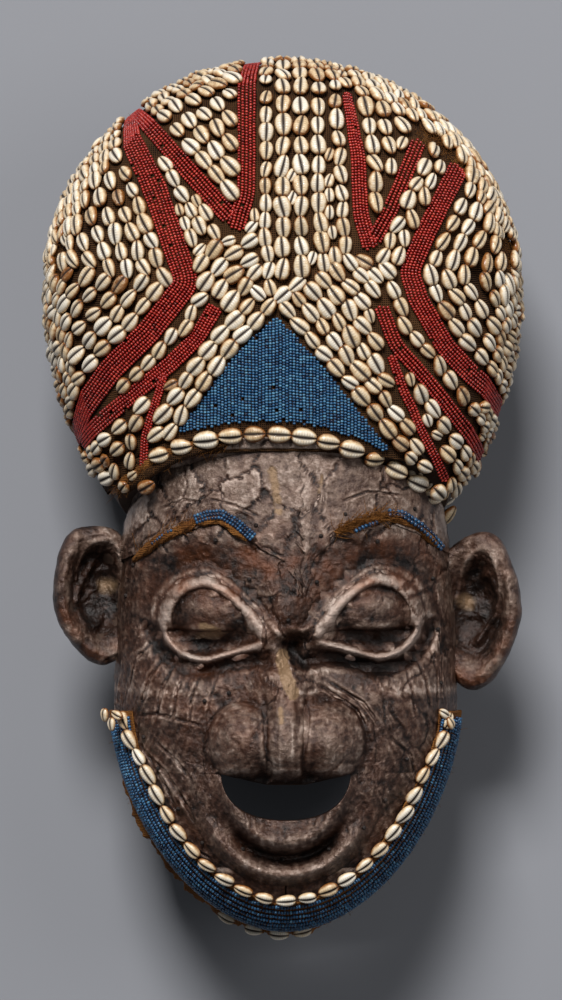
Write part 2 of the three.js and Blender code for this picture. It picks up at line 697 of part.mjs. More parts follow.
// A cowrie lying along a direction with its slit away from the surface.
function cowrieSolid(place, along, outward) {
  const profile = [[0, -1], [1, -0.35], [1, 0.35], [0, 1]].map(([reach, height]) => new THREE.Vector2(reach, height));
  const geometry = new THREE.LatheGeometry(profile, 4);
  geometry.rotateZ(Math.PI / 2);
  geometry.scale(COWRIE_LENGTH / 2, COWRIE_WIDTH / 2, COWRIE_HEIGHT / 2);
  const across = new THREE.Vector3().crossVectors(outward, along).normalize();
  const up = new THREE.Vector3().crossVectors(along, across).normalize();
  geometry.applyMatrix4(new THREE.Matrix4().makeBasis(along, across, up).setPosition(place));
  return solidOf(geometry);
}

// A chain of cowries, tip to tip, along a path of points with the outward direction at each.
function cowrieChain(pointAt, outwardAt) {
  const samples = 240;
  const stations = Array.from({ length: samples + 1 }, (_, index) => index / samples);
  const points = stations.map(pointAt);
  const lengths = [0];
  for (let index = 1; index <= samples; index += 1) {
    lengths.push(lengths[index - 1] + points[index].distanceTo(points[index - 1]));
  }
  const count = Math.round(lengths[samples] / COWRIE_SPACING);
  let chain = null;
  for (let index = 0; index < count; index += 1) {
    const reach = ((index + 0.5) / count) * lengths[samples];
    const near = Math.min(samples - 1, Math.max(1, lengths.findIndex((length) => length >= reach)));
    const along = new THREE.Vector3().subVectors(points[near + 1], points[near - 1]).normalize();
    const outward = outwardAt(stations[near]);
    const place = points[near].clone().addScaledVector(outward, COWRIE_HEIGHT / 2);
    const cowrie = cowrieSolid(place, along, outward);
    chain = chain ? chain.add(cowrie) : cowrie;
  }
  return chain;
}

// The outward direction of a surface given by its height over X and Y.
function outwardOf(surface, x, y) {
  const step = 1;
  const slopeX = (surface(x + step, y) - surface(x - step, y)) / (2 * step);
  const slopeY = (surface(x, y + step) - surface(x, y - step)) / (2 * step);
  return new THREE.Vector3(-slopeX, -slopeY, 1).normalize();
}

// A chain of cowries on a surface, along a path in X and Y.
function surfaceChain(path, surface) {
  const pointAt = (share) => {
    const [x, y] = path(share);
    return new THREE.Vector3(x, y, surface(x, y));
  };
  return cowrieChain(pointAt, (share) => outwardOf(surface, ...path(share)));
}

// A line round the jaw: a share of the jaw's reach at an angle from straight down.
function jawPoint(share, angle) {
  const power = 2 / JAW_ROUNDNESS;
  const x = HEAD_HALF_WIDTH * share * Math.sign(Math.sin(angle)) * Math.abs(Math.sin(angle)) ** power;
  const y = JAW_Y - JAW_DROP * share * Math.abs(Math.cos(angle)) ** power;
  return [FACE_X + x, y];
}

// The height of the head's front at a point of the mask, swelled by a thickness.
function headHeight(x, y, swell) {
  const carvedY = y >= JAW_Y ? y : JAW_Y - ((JAW_Y - y) * JAW_DROP) / (JAW_DROP + swell);
  return faceHeight(x - FACE_X, carvedY, swell);
}

function foreheadSheet() {
  return headSolid(SHEET_TOP).subtract(headSolid(GAP))
    .intersect(above(SHEET_EDGE_Z))
    .subtract(aboveHem(-2.5))
    .intersect(prism([...FOREHEAD_EDGE, [150, 120], [-150, 120]]));
}

function buildBrows() {
  const layer = headSolid(BROW_TOP).subtract(headSolid(SHEET_TOP + GAP));
  addPiece("left_brow", layer.intersect(prism(strip(LEFT_BROW, 7), 100)), BLUE_GLASS);
  addPiece("right_brow", layer.intersect(prism(strip(RIGHT_BROW, 7.5), 100)), BLUE_GLASS);
}

function foreheadRow() {
  const rowPath = (share) => {
    const x = THREE.MathUtils.lerp(ROW_LEFT + 2, ROW_RIGHT - 8, share);
    return [x, rowY(x)];
  };
  return surfaceChain(rowPath, (x, y) => crownHeight(x, y, BEAD_BASE + 0.8)).subtract(headSolid(BROW_TOP + GAP));
}

// A point of the jaw's surface at a share of its reach. At the full share it lies on the widest line of the head.
function ontoJaw(share, angle, swell) {
  if (share < 1) {
    const [x, y] = jawPoint(share, angle);
    return new THREE.Vector3(x, y, headHeight(x, y, swell));
  }
  const [x, y] = jawPoint(1, angle);
  const drop = (JAW_Y - y) / JAW_DROP;
  const grownX = FACE_X + ((x - FACE_X) * (HEAD_HALF_WIDTH + swell)) / HEAD_HALF_WIDTH;
  const grownY = JAW_Y - drop * (JAW_DROP + swell);
  const middle = HEAD_MIDDLE_Z + (JAW_POINT_Z - HEAD_MIDDLE_Z) * drop ** 2;
  return new THREE.Vector3(grownX, grownY, middle - (share - 1) * JAW_DROP);
}

// A band round the jaw through the given shares of its reach, between two heights above the wood.
function jawBand(shares, reach, base, top) {
  const stations = 22;
  const rings = [];
  for (let station = 0; station <= stations; station += 1) {
    const angle = -reach + (2 * reach * station) / stations;
    rings.push([...shares.map((share) => ontoJaw(share, angle, top)),
      ...shares.map((share) => ontoJaw(share, angle, base)).reverse()]);
  }
  return sweep(rings);
}

function buildBeard() {
  addPiece("beard_cloth", jawBand(JAW_CLOTH_SHARES, JAW_REACH, BEARD_CLOTH_BASE, BEARD_CLOTH_TOP), RAFFIA);
  addPiece("beard_beads", jawBand(JAW_BEAD_SHARES, JAW_REACH - 0.03, BEARD_BEAD_BASE, BEARD_BEAD_TOP), BLUE_GLASS);
  const rowPath = (share) => jawPoint(JAW_ROW_SHARE, JAW_REACH * (2 * share - 1));
  addPiece("beard_cowrie_row", surfaceChain(rowPath, (x, y) => headHeight(x, y, BEARD_ROW_BASE)), SHELL);
  const chinAngle = (share) => THREE.MathUtils.lerp(-0.36, 0.14, share);
  const chinRow = cowrieChain(
    (share) => ontoJaw(1.03, chinAngle(share), BEARD_BEAD_TOP + GAP),
    (share) => new THREE.Vector3(Math.sin(chinAngle(share)), -Math.cos(chinAngle(share)), 0),
  );
  addPiece("chin_cowrie_row", chinRow, SHELL);
}

addPiece("carved_head", carvedHead(), WOOD);
addPiece("forehead_sheet", foreheadSheet(), COPPER);
buildBrows();
buildCrownDress();
addPiece("forehead_cowrie_row", foreheadRow(), SHELL);
buildBeard();

// The origin is under the middle of the whole mask.
const bounds = new THREE.Box3().setFromObject(mask);
mask.position.set(-(bounds.min.x + bounds.max.x) / 2, -(bounds.min.y + bounds.max.y) / 2, -bounds.min.z);

export default mask;
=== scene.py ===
"""The looks of a helmet mask: carved wood in beaten copper, a round crown of raffia cloth sewn with cowries
and glass beads, and a beaded beard.

The forms are worked out in millimetres in a frame of their own, where X runs across the face, Y from the chin
to the crown and Z up out of the face. place() takes them to the part's frame in metres.
"""

import logging
import math
from collections.abc import Iterator
from dataclasses import dataclass, field
from enum import Enum

import bmesh
import bpy
import numpy as np
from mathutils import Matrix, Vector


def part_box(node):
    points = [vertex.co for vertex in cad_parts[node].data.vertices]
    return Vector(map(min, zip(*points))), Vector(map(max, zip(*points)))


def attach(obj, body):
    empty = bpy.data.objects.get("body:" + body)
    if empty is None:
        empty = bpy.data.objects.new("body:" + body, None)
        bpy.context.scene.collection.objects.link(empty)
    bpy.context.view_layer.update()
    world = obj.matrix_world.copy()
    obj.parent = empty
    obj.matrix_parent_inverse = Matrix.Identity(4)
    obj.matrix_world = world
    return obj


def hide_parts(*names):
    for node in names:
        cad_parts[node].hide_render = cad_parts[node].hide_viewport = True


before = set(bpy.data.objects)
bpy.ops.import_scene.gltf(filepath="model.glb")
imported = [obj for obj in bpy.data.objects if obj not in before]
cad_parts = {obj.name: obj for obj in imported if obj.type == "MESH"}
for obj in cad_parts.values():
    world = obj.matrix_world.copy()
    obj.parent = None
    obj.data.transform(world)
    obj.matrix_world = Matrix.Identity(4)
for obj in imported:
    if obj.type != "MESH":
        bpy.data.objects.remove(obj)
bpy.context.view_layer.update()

LOG = logging.getLogger("helmet_mask")
Array = np.ndarray
Thing = bpy.types.Object
Material = bpy.types.Material
Socket = bpy.types.NodeSocket

# The frame's place in the part, from the crown cloth's box: its middle, its top and the edge on the back

CLOTH_LOW, CLOTH_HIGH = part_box("crown_cloth")
CLOTH_TOP = 325.3
CLOTH_EDGE = 14.0
SHIFT = np.array([(CLOTH_LOW.x + CLOTH_HIGH.x) * 500, CLOTH_HIGH.y * 1000 - CLOTH_TOP,
                  CLOTH_LOW.z * 1000 - CLOTH_EDGE])


def place(points: Array) -> Array:
    """Takes points in the forms' frame, in millimetres, to the part's frame, in metres."""
    return (np.asarray(points, float) + SHIFT) / 1000


class Slot(Enum):
    """The record's material slots."""

    WOOD = "carved_wood"
    COPPER = "copper"
    CLOTH = "raffia_cloth"
    RED = "red_beads"
    BLUE = "blue_beads"
    SHELL = "cowrie_shell"


# Shapes of numbers


def round_off(share: Array, roundness: float) -> Array:
    """The height left on a rounded section at a share of its half width: (1 - |share|^n)^(1/n)."""
    return np.maximum(0, 1 - np.abs(share) ** roundness) ** (1 / roundness)


def bump(distance: Array, width: float) -> Array:
    """A bell: exp(-(distance / width)^2)."""
    return np.exp(-((distance / width) ** 2))


def dome(x: Array, y: Array, half_width: float, half_height: float) -> Array:
    """Half an ellipsoid of height 1: sqrt(1 - (x / a)^2 - (y / b)^2), and 0 outside."""
    return np.sqrt(np.maximum(0, 1 - (x / half_width) ** 2 - (y / half_height) ** 2))


def ramp(first: float, second: float, value: Array) -> Array:
    """A smooth step from 0 at the first value to 1 at the second, which may be the lower: 3 s^2 - 2 s^3."""
    share = np.clip((value - first) / (second - first), 0, 1)
    return share * share * (3 - 2 * share)


def around(count: int) -> Array:
    """Even turns about a circle, in radians."""
    return 2 * np.pi * np.arange(count) / count


def unit(vectors: Array) -> Array:
    """Vectors brought to a length of 1."""
    return vectors / np.maximum(np.linalg.norm(vectors, axis=-1, keepdims=True), 1e-9)


def running(lengths: Array) -> Array:
    """How far each corner of a line is along it, from the lengths of its stretches."""
    return np.concatenate([[0], np.cumsum(lengths)])


def points_at(places: Array, reach: Array, corners: Array) -> Array:
    """The points at places along a line whose corners are so far along it."""
    return np.stack([np.interp(places, reach, column) for column in corners.T], 1)


def left_of(ways: Array) -> Array:
    """The flat directions a quarter turn to the left of others."""
    return np.stack([-ways[:, 1], ways[:, 0]], 1)


def smoothed(values: Array, times: int) -> Array:
    """Rows of values run smooth: each becomes a quarter of its two neighbours and half of itself, a few
    times.

    Args:
        values: the rows.
        times: how often.

    Returns:
        The smooth rows.
    """
    values = values.copy()
    for _ in range(times):
        values[1:-1] = (values[:-2] + 2 * values[1:-1] + values[2:]) / 4
    return values


def joined(parts: list[tuple]) -> list[Array]:
    """Groups of arrays put end to end, the first of each, the second of each and so on."""
    return [np.concatenate(group) for group in zip(*parts)]


def line_distance(x: Array, y: Array, line: list[list[float]]) -> tuple[Array, Array]:
    """The distance of points from a line of straight stretches.

    Args:
        x: places across.
        y: places up.
        line: the line's corners.

    Returns:
        The distance to the nearest stretch, and how far along the line that is, from 0 to 1.
    """
    best = np.full(np.shape(x), np.inf)
    along = np.zeros(np.shape(x))
    lengths = [math.dist(a, b) for a, b in zip(line, line[1:])]
    done = 0.0
    for (ax, ay), (bx, by), length in zip(line, line[1:], lengths):
        share = np.clip(((x - ax) * (bx - ax) + (y - ay) * (by - ay)) / length**2, 0, 1)
        distance = np.hypot(x - ax - share * (bx - ax), y - ay - share * (by - ay))
        nearer = distance < best
        best = np.where(nearer, distance, best)
        along = np.where(nearer, (done + share * length) / sum(lengths), along)
        done += length
    return best, along


def inside(x: Array, y: Array, outline: list[list[float]]) -> Array:
    """Whether points lie in an outline, by counting the edges to their right.

    Args:
        x: places across.
        y: places up.
        outline: the outline's corners.

    Returns:
        Which of them do.
    """
    crossed = np.zeros(np.shape(x), bool)
    for (ax, ay), (bx, by) in zip(outline, outline[1:] + outline[:1]):
        if ay == by:
            continue
        spans = (ay > y) != (by > y)
        crossed ^= spans & (x < (bx - ax) * (y - ay) / (by - ay) + ax)
    return crossed


def resample(line: list[list[float]], step: float) -> tuple[Array, Array]:
    """Even stations along a line of straight stretches.

    Args:
        line: the line's corners.
        step: the distance between stations.

    Returns:
        The stations, and the unit direction at each.
    """
    corners = np.array(line, float)
    reach = running(np.hypot(*np.diff(corners, axis=0).T))
    count = max(2, int(round(reach[-1] / step)) + 1)
    places = points_at(np.linspace(0, reach[-1], count), reach, corners)
    return places, unit(np.gradient(places, axis=0))


def offset_line(line: list[list[float]], distance: float) -> list[list[float]]:
    """A line beside another, to its left where the distance is positive, with mitred corners.

    Args:
        line: the first line's corners.
        distance: how far beside it.

    Returns:
        The new line's corners.
    """
    corners = np.array(line, float)
    sides = left_of(unit(np.diff(corners, axis=0)))
    mitres = unit(np.concatenate([sides[:1], sides[:-1] + sides[1:], sides[-1:]]))
    against = np.concatenate([sides[:1], sides[1:], sides[-1:]])
    stretch = 1 / np.maximum(0.5, (mitres * against).sum(1))
    return (corners + mitres * (distance * stretch)[:, None]).tolist()


@dataclass
class Grain:
    """Smooth random values through space, the same at every run."""

    seed: int
    size: int = 32

    def __post_init__(self) -> None:
        """Fills the lattice."""
        self.lattice = np.random.default_rng(self.seed).random((self.size,) * 3)

    def at(self, x: Array, y: Array, z: Array | float = 0.0) -> Array:
        """Values from 0 to 1, blended between the lattice's eight nearest points with a smooth step.

        Args:
            x: places across.
            y: places up.
            z: places out.

        Returns:
            The values.
        """
        spots = np.broadcast_arrays(np.asarray(x, float), y, z)
        low = [np.floor(spot).astype(int) for spot in spots]
        part = [spot - floor for spot, floor in zip(spots, low)]
        part = [share * share * (3 - 2 * share) for share in part]
        total = np.zeros(spots[0].shape)
        for corner in range(8):
            steps = [(corner >> axis) & 1 for axis in range(3)]
            weight = np.ones(spots[0].shape)
            for share, step in zip(part, steps):
                weight = weight * (share if step else 1 - share)
            index = tuple((floor + step) % self.size for floor, step in zip(low, steps))
            total += weight * self.lattice[index]
        return total

    def layers(self, x: Array, y: Array, z: Array | float = 0.0, count: int = 4) -> Array:
        """A sum of ever finer and fainter values, from about -1 to 1.

        Args:
            x: places across.
            y: places up.
            z: places out.
            count: how many are added up.

        Returns:
            The sum.
        """
        total, strength, reach = np.zeros(np.broadcast(x, y, z).shape), 1.0, 0.0
        for layer in range(count):
            scale = 2.03**layer
            total += strength * (2 * self.at(x * scale + 7 * layer, y * scale + 3 * layer, z * scale) - 1)
            reach += strength
            strength *= 0.5
        return total / reach

    def creases(self, x: Array, y: Array, z: Array | float = 0.0, count: int = 3) -> Array:
        """A sum of ever finer and fainter sharp folds, (1 - |v|)^3 of the values v, from 0 to 1 on the
        ridge.

        Args:
            x: places across.
            y: places up.
            z: places out.
            count: how many are added up.

        Returns:
            The sum.
        """
        total, strength, reach = np.zeros(np.broadcast(x, y, z).shape), 1.0, 0.0
        for layer in range(count):
            scale = 2.11**layer
            value = 2 * self.at(x * scale + 5 * layer, y * scale - 4 * layer, z * scale) - 1
            total += strength * (1 - np.abs(value)) ** 3
            reach += strength
            strength *= 0.55
        return total / reach


GRAIN = Grain(11)


# Meshes


def build_mesh(name: str, points: Array, faces: list[Array], values: dict[str, Array]) -> Thing:
    """Makes an object from arrays.

    Args:
        name: the object's name.
        points: the points, in the forms' frame.
        faces: arrays of faces, one array for each number of corners.
        values: named values, one a point, for the finish to read.

    Returns:
        The object, at the origin.
    """
    mesh = bpy.data.meshes.new(name)
    corners = np.concatenate([np.asarray(group).ravel() for group in faces]).astype(np.int32)
    sizes = np.concatenate([np.full(len(group), np.shape(group)[1]) for group in faces])
    starts = np.concatenate([[0], np.cumsum(sizes)[:-1]]).astype(np.int32)
    mesh.vertices.add(len(points))
    mesh.vertices.foreach_set("co", place(points).astype(np.float32).ravel())
    mesh.loops.add(len(corners))
    mesh.loops.foreach_set("vertex_index", corners)
    mesh.polygons.add(len(sizes))
    mesh.polygons.foreach_set("loop_start", starts)
    mesh.polygons.foreach_set("use_smooth", np.ones(len(sizes), bool))
    for key, value in values.items():
        attribute = mesh.attributes.new(key, "FLOAT", "POINT")
        attribute.data.foreach_set("value", np.asarray(value, np.float32).ravel())
    mesh.update(calc_edges=True)
    mesh.validate()
    thing = bpy.data.objects.new(name, mesh)
    bpy.context.scene.collection.objects.link(thing)
    return thing


def close_up(thing: Thing, reach: float = 1e-6) -> None:
    """Deletes loose points, merges points that meet at seams and poles, and turns every face outwards.

    Args:
        thing: the object.
        reach: how near two points merge, in metres.
    """
    work = bmesh.new()
    work.from_mesh(thing.data)
    loose = [point for point in work.verts if not point.link_faces]
    bmesh.ops.delete(work, geom=loose, context="VERTS")
    bmesh.ops.remove_doubles(work, verts=work.verts, dist=reach)
    bmesh.ops.dissolve_degenerate(work, edges=work.edges, dist=reach / 10)
    bmesh.ops.recalc_face_normals(work, faces=work.faces)
    work.to_mesh(thing.data)
    work.free()
    thing.data.update()


def grid_faces(rows: int, columns: int, wrap: bool = False) -> Array:
    """The four-sided faces of a grid of points.

    Args:
        rows: how many rows of points.
        columns: how many points in a row.
        wrap: whether each row closes on itself.

    Returns:
        One face a line.
    """
    points = np.arange(rows * columns).reshape(rows, columns)
    if wrap:
        points = np.concatenate([points, points[:, :1]], 1)
    low, high = points[:-1], points[1:]
    return np.stack([part.ravel() for part in (low[:, :-1], low[:, 1:], high[:, 1:], high[:, :-1])], 1)


def sheet_piece(name: str, top: Array, under: Array, values: dict[str, Array], step: int = 6,
                wrap: bool = False) -> Thing:
    """A thin closed sheet over a grid, fine on top and coarse underneath.

    Args:
        name: the piece's name.
        top: the upper points, rows by columns by three.
        under: the lower points, the same.
        values: named values over the upper grid.
        step: how many of the grid's cells one face underneath spans.
        wrap: whether each row closes on itself.

    Returns:
        The object.
    """
    rows, columns = top.shape[:2]
    count = rows * columns
    first, last = np.arange(columns), (rows - 1) * columns + np.arange(columns)
    left, right = np.arange(rows) * columns, np.arange(rows) * columns + columns - 1
    edges = [first, last[::-1]]
    if not wrap:
        edges = [np.concatenate([first[:-1], right[:-1], last[:0:-1], left[:0:-1]])]
    skirt = np.concatenate([np.stack([ring, np.roll(ring, -1), np.roll(ring, -1) + count, ring + count], 1)
                            for ring in edges])
    row = np.unique(np.append(np.arange(0, rows, step), rows - 1))
    column = np.unique(np.append(np.arange(0, columns, step), columns if wrap else columns - 1))
    polygons: dict[int, list] = {}
    for low, high in zip(row, row[1:]):
        for here, there in zip(column, column[1:]):
            ring = [(low, c) for c in (range(here, there) if low == 0 else (here,))]
            ring += [(r, there) for r in (range(low, high) if there == columns - 1 and not wrap else (low,))]
            ring += [(high, c) for c in (range(there, here, -1) if high == rows - 1 else (there,))]
            ring += [(r, here) for r in (range(high, low, -1) if here == 0 and not wrap else (high,))]
            corners = [r * columns + c % columns for r, c in reversed(ring)]
            polygons.setdefault(len(corners), []).append(corners)
    below = [np.array(group) + count for group in polygons.values()]
    points = np.concatenate([top.reshape(-1, 3), under.reshape(-1, 3)])
    doubled = {key: np.tile(np.asarray(value).ravel(), 2) for key, value in values.items()}
    thing = build_mesh(name, points, [grid_faces(rows, columns, wrap=wrap), skirt, *below], doubled)
    close_up(thing, 2e-6)
    return thing


def copies(shape: "Template", centres: Array, along: Array, outward: Array,
           sizes: Array) -> tuple[Array, list[Array]]:
    """Many copies of one small shape, each turned and sized.

    A copy's points are centre + along x a + across y b + outward z c, where across is outward crossed with
    along.

    Args:
        shape: the shape, with its length along X and its top towards Z.
        centres: the copies' places.
        along: the unit direction of each one's length.
        outward: the direction away from what it lies on.
        sizes: length, width and height of each.

    Returns:
        All points, and the faces in groups by their number of corners.
    """
    across = unit(np.cross(outward, along))
    up = np.cross(along, across)
    spread = shape.points[None] * (sizes[:, None, :] / 2)
    points = (centres[:, None] + spread[..., :1] * along[:, None] + spread[..., 1:2] * across[:, None]
              + spread[..., 2:] * up[:, None])
    starts = np.arange(len(centres))[:, None, None] * len(shape.points)
    faces = [(group[None] + starts).reshape(-1, group.shape[1]) for group in shape.faces]
    return points.reshape(-1, 3), faces


@dataclass
class Template:
    """A small closed shape that is repeated many times, in a box from -1 to 1."""

    points: Array
    faces: list[Array]
    values: dict[str, Array] = field(default_factory=dict)


def barrel_template(sides: int = 6) -> Template:
    """A glass bead: rings of radius 0.5, 0.98, 0.98 and 0.5 along its length, closed at both ends.

    Args:
        sides: how many sides it has.

    Returns:
        The shape.
    """
    rings = [(-1.0, 0.5), (-0.45, 0.98), (0.45, 0.98), (1.0, 0.5)]
    turn = around(sides)
    points = np.concatenate([np.stack([np.full(sides, x), radius * np.cos(turn), radius * np.sin(turn)], 1)
                             for x, radius in rings])
    sides_faces = grid_faces(len(rings), sides, wrap=True)
    caps = np.stack([np.arange(sides)[::-1], (len(rings) - 1) * sides + np.arange(sides)])
    # The end rings are marked for painted shade where one bead meets the next.
    return Template(points, [sides_faces, caps], {"end": np.repeat([1.0, 0.0, 0.0, 1.0], sides)})


def cowrie_template() -> Template:
    """A cowrie: an egg with one end blunter, its top parted by a long slit with rolled lips.

    At a share u of its length the radius is sin(acos u)^0.82 with the blunt end wider. Near a turn t of 0
    from the top the surface sinks into the slit, and beside it the lips stand up.

    Returns:
        The shape.
    """
    lengths = np.cos(np.pi * np.arange(1, 10) / 10)
    turns = np.radians([0, 10, 21, 44, 86, 145, 215, 274, 316, 339, 350])
    u, t = np.meshgrid(lengths, turns, indexing="ij")
    round_part = np.sin(np.arccos(u)) ** 0.82 * (1 + 0.16 * u - 0.05 * u**2)
    off = np.minimum(t, 2 * np.pi - t)
    lip = 0.08 * bump(off - 0.46, 0.22)
    sink = 0.4 * bump(off, 0.2) * np.minimum(1, round_part * 1.3)
    radius = round_part * (1 + lip)
    y = radius * np.sin(t) * 0.95
    z = radius * np.cos(t) - sink
    z = np.where(z < 0, z * 0.7, z)
    grid = np.stack([u * 0.99, y, z], -1).reshape(-1, 3)
    ends = np.array([[1.0, 0.0, 0.0], [-1.0, 0.0, 0.0]])
    rows, columns = u.shape
    first, last = len(grid), len(grid) + 1
    here = np.arange(columns)
    ring, after = (rows - 1) * columns + here, (rows - 1) * columns + np.roll(here, -1)
    caps = np.concatenate([np.stack([np.full(columns, first), np.roll(here, -1), here], 1),
                           np.stack([np.full(columns, last), ring, after], 1)])
    slit = np.append((1.15 * bump(off, 0.27)).clip(0, 1).ravel(), [1.0, 1.0])
    low = np.append(np.maximum(ramp(0.5, -0.2, z), 0.75 * ramp(0.72, 0.98, np.abs(u))).ravel(), [1.0, 1.0])
    length = np.append(u.ravel(), [1.0, -1.0])
    return Template(np.concatenate([grid, ends]), [grid_faces(rows, columns, wrap=True), caps],
                    {"slit": slit, "low": low, "length": length, "side": np.append(off.ravel(), [0.0, 0.0])})


# Finishes

# The first number times the second and the third added, as it comes or held between 0 and 1

WEIGHTED = {"operation": "MULTIPLY_ADD"}
WEIGHTED_CLAMPED = {"operation": "MULTIPLY_ADD", "use_clamp": True}
BARE_WOOD = "#8c7054"
# Dark brown for the beads' dirt and for the painted shade at their ends.
DIRT_AND_SHADE = "#20130f"


def linear(colour: str) -> tuple[float, float, float, float]:
    """Turns an sRGB hex colour into linear values, opaque."""
    parts = [int(colour[i:i + 2], 16) / 255 for i in (1, 3, 5)]
    return (*(p / 12.92 if p <= 0.04045 else ((p + 0.055) / 1.055) ** 2.4 for p in parts), 1.0)


class Surface:
    """A material under construction."""

    def __init__(self, name: str) -> None:
        """Starts an empty material.

        Args:
            name: its name.
        """
        self.material = bpy.data.materials.new(name)
        self.material.use_nodes = True
        self.tree = self.material.node_tree
        self.tree.nodes.clear()

    def add(self, kind: str, inputs: dict | list, output: int | str = 0, stops: tuple = (),
            **settings: object) -> Socket:
        """Adds a node with its settings and links.

        Args:
            kind: the node's type, without its prefix.
            inputs: for each socket, by name or in order, a value or another node's output to link.
            output: which of its outputs is wanted.
            stops: a colour ramp's places and hex colours.
            settings: the node's own properties.

        Returns:
            The output.
        """
        node = self.tree.nodes.new("ShaderNode" + kind)
        for key, value in settings.items():
            setattr(node, key, value)
        for key, value in inputs.items() if isinstance(inputs, dict) else enumerate(inputs):
            if isinstance(value, Socket):
                self.tree.links.new(value, node.inputs[key])
            else:
                node.inputs[key].default_value = value
        for number, (spot, code) in enumerate(stops):
            band = node.color_ramp.elements
            element = band[number] if number < len(band) else band.new(spot)
            element.position, element.color = spot, linear(code)
        return node.outputs[output]

    def finished(self, inputs: dict) -> Material:
        """The material, its Principled shader set from the inputs.

        Args:
            inputs: the shader's inputs by name.

        Returns:
            The material.
        """
        shader = self.add("BsdfPrincipled", inputs)
        self.tree.links.new(shader, self.tree.nodes.new("ShaderNodeOutputMaterial").inputs["Surface"])
        return self.material


@dataclass(frozen=True)
class AgedCopper:
    """Thin copper sheet, hammered over carving and blackened by smoke and handling.

    It reads as dull brown-black leather in the hollows, grey-brown and softly shiny where it is rubbed, with
    red copper showing through in patches.
    """

    name: str = "beaten_copper_smoked"
    dark: str = "#150e0b"
    middle: str = "#48342b"
    soft: str = "#796457"
    pale: str = "#bba79a"
    warm: str = "#86481d"
    roughness: float = 0.38
    metallic: float = 0.25
    fine_mm: float = 1.4
    patch_mm: float = 20.0
    scuff_mm: float = 6.0
    ridge_mm: float = 7.5

    def material(self) -> Material:
        """Builds the finish: tone from the tone attribute (height over the neighbourhood, with painted shade and
        highlight about the eyes, the mouth and the ears' dishes), warm patches and a fine crumple.

        Returns:
            The material.
        """
        work = Surface(self.name)
        places = work.add("TexCoord", {}, "Object")
        tone, warmth, bare = (work.add("Attribute", {}, "Fac", attribute_name=name)
                              for name in ("tone", "warmth", "bare"))
        grain, cloud, patches, scuff, fine = (
            work.add("TexNoise",
                     {"Vector": places, "Scale": 1000 / size, "Detail": detail, "Roughness": rough})
            for size, detail, rough in ((self.fine_mm * 3, 6.0, 0.66), (self.patch_mm * 0.7, 5.0, 0.6),
                                        (self.patch_mm, 5.0, 0.6), (self.scuff_mm, 5.0, 0.6),
                                        (self.fine_mm * 2, 5.0, 0.65)))
        share = work.add("Math", [cloud, 0.85, work.add("Math", [grain, 1.15, tone], **WEIGHTED)],
                         **WEIGHTED)
        share = work.add("Math", [share, 1.02], operation="SUBTRACT", use_clamp=True)
        colour = work.add("ValToRGB", [share],
                          stops=((0.0, self.dark), (0.36, self.middle), (0.66, self.soft),
                                                      (1.0, self.pale)))
        patches = work.add("Math", [patches, 2.4, -0.95], **WEIGHTED_CLAMPED)
        warm = work.add("Math", [patches, warmth], operation="MULTIPLY", use_clamp=True)
        red = work.add("Math", [warm, 0.55], operation="MULTIPLY")
        for share, code, way in ((warm, self.warm, "SOFT_LIGHT"), (red, self.warm, "MIX"),
                                 (bare, BARE_WOOD, "MIX")):
            colour = work.add("Mix", {"Factor": share, "A": colour, "B": linear(code)}, "Result",
                              data_type="RGBA",
                              blend_type=way)
        ridged = work.add(
            "TexNoise", {"Vector": places, "Scale": 1000 / self.ridge_mm, "Detail": 5.0, "Roughness": 0.62,
                         "Distortion": 0.6}, noise_type="RIDGED_MULTIFRACTAL")
        wrinkle = work.add("Math", [ridged, 0.9, fine], **WEIGHTED)
        return work.finished({
            "Base Color": colour, "Metallic": self.metallic,
            "Roughness": work.add("Math", [scuff, 0.34, self.roughness - 0.17], **WEIGHTED_CLAMPED),
            "Normal": work.add("Bump", {"Height": wrinkle, "Distance": 0.0016, "Strength": 0.85})})


@dataclass(frozen=True)
class CarvedWood:
    """Light hardwood, adzed and blackened by smoke: matt, dark brown, with a faint grain along the
    height."""

    name: str = "smoked_hardwood"
    dark: str = "#1e140e"
    pale: str = "#5b4130"
    roughness: float = 0.72
    grain_mm: float = 2.6
    patch_mm: float = 40.0
    adze_mm: float = 14.0

    def material(self) -> Material:
        """Builds the finish: a noise stretched along Y for the grain, and adze marks in the bump.

        Returns:
            The material.
        """
        work = Surface(self.name)
        places = work.add("TexCoord", {}, "Object")
        stretched = work.add("Mapping", {"Vector": places, "Scale": (1.0, 0.08, 1.0)})
        grain, patches = (
            work.add("TexNoise",
                     {"Vector": spots, "Scale": 1000 / size, "Detail": detail, "Roughness": rough})
            for spots, size, detail, rough in ((stretched, self.grain_mm, 5.0, 0.6),
                                               (places, self.patch_mm, 3.0, 0.55)))
        share = work.add("Math", [grain, 0.7, work.add("Math", [patches, 0.8, -0.35], **WEIGHTED)],
                         **WEIGHTED)
        marks = work.add("TexVoronoi", {"Vector": places, "Scale": 1000 / self.adze_mm}, feature="SMOOTH_F1")
        height = work.add("Math", [grain, 0.35, marks], **WEIGHTED)
        return work.finished({
            "Base Color": work.add("ValToRGB", [share], stops=((0.1, self.dark), (0.9, self.pale))),
            "Roughness": self.roughness,
            "Normal": work.add("Bump", {"Height": height, "Distance": 0.002, "Strength": 0.45})})


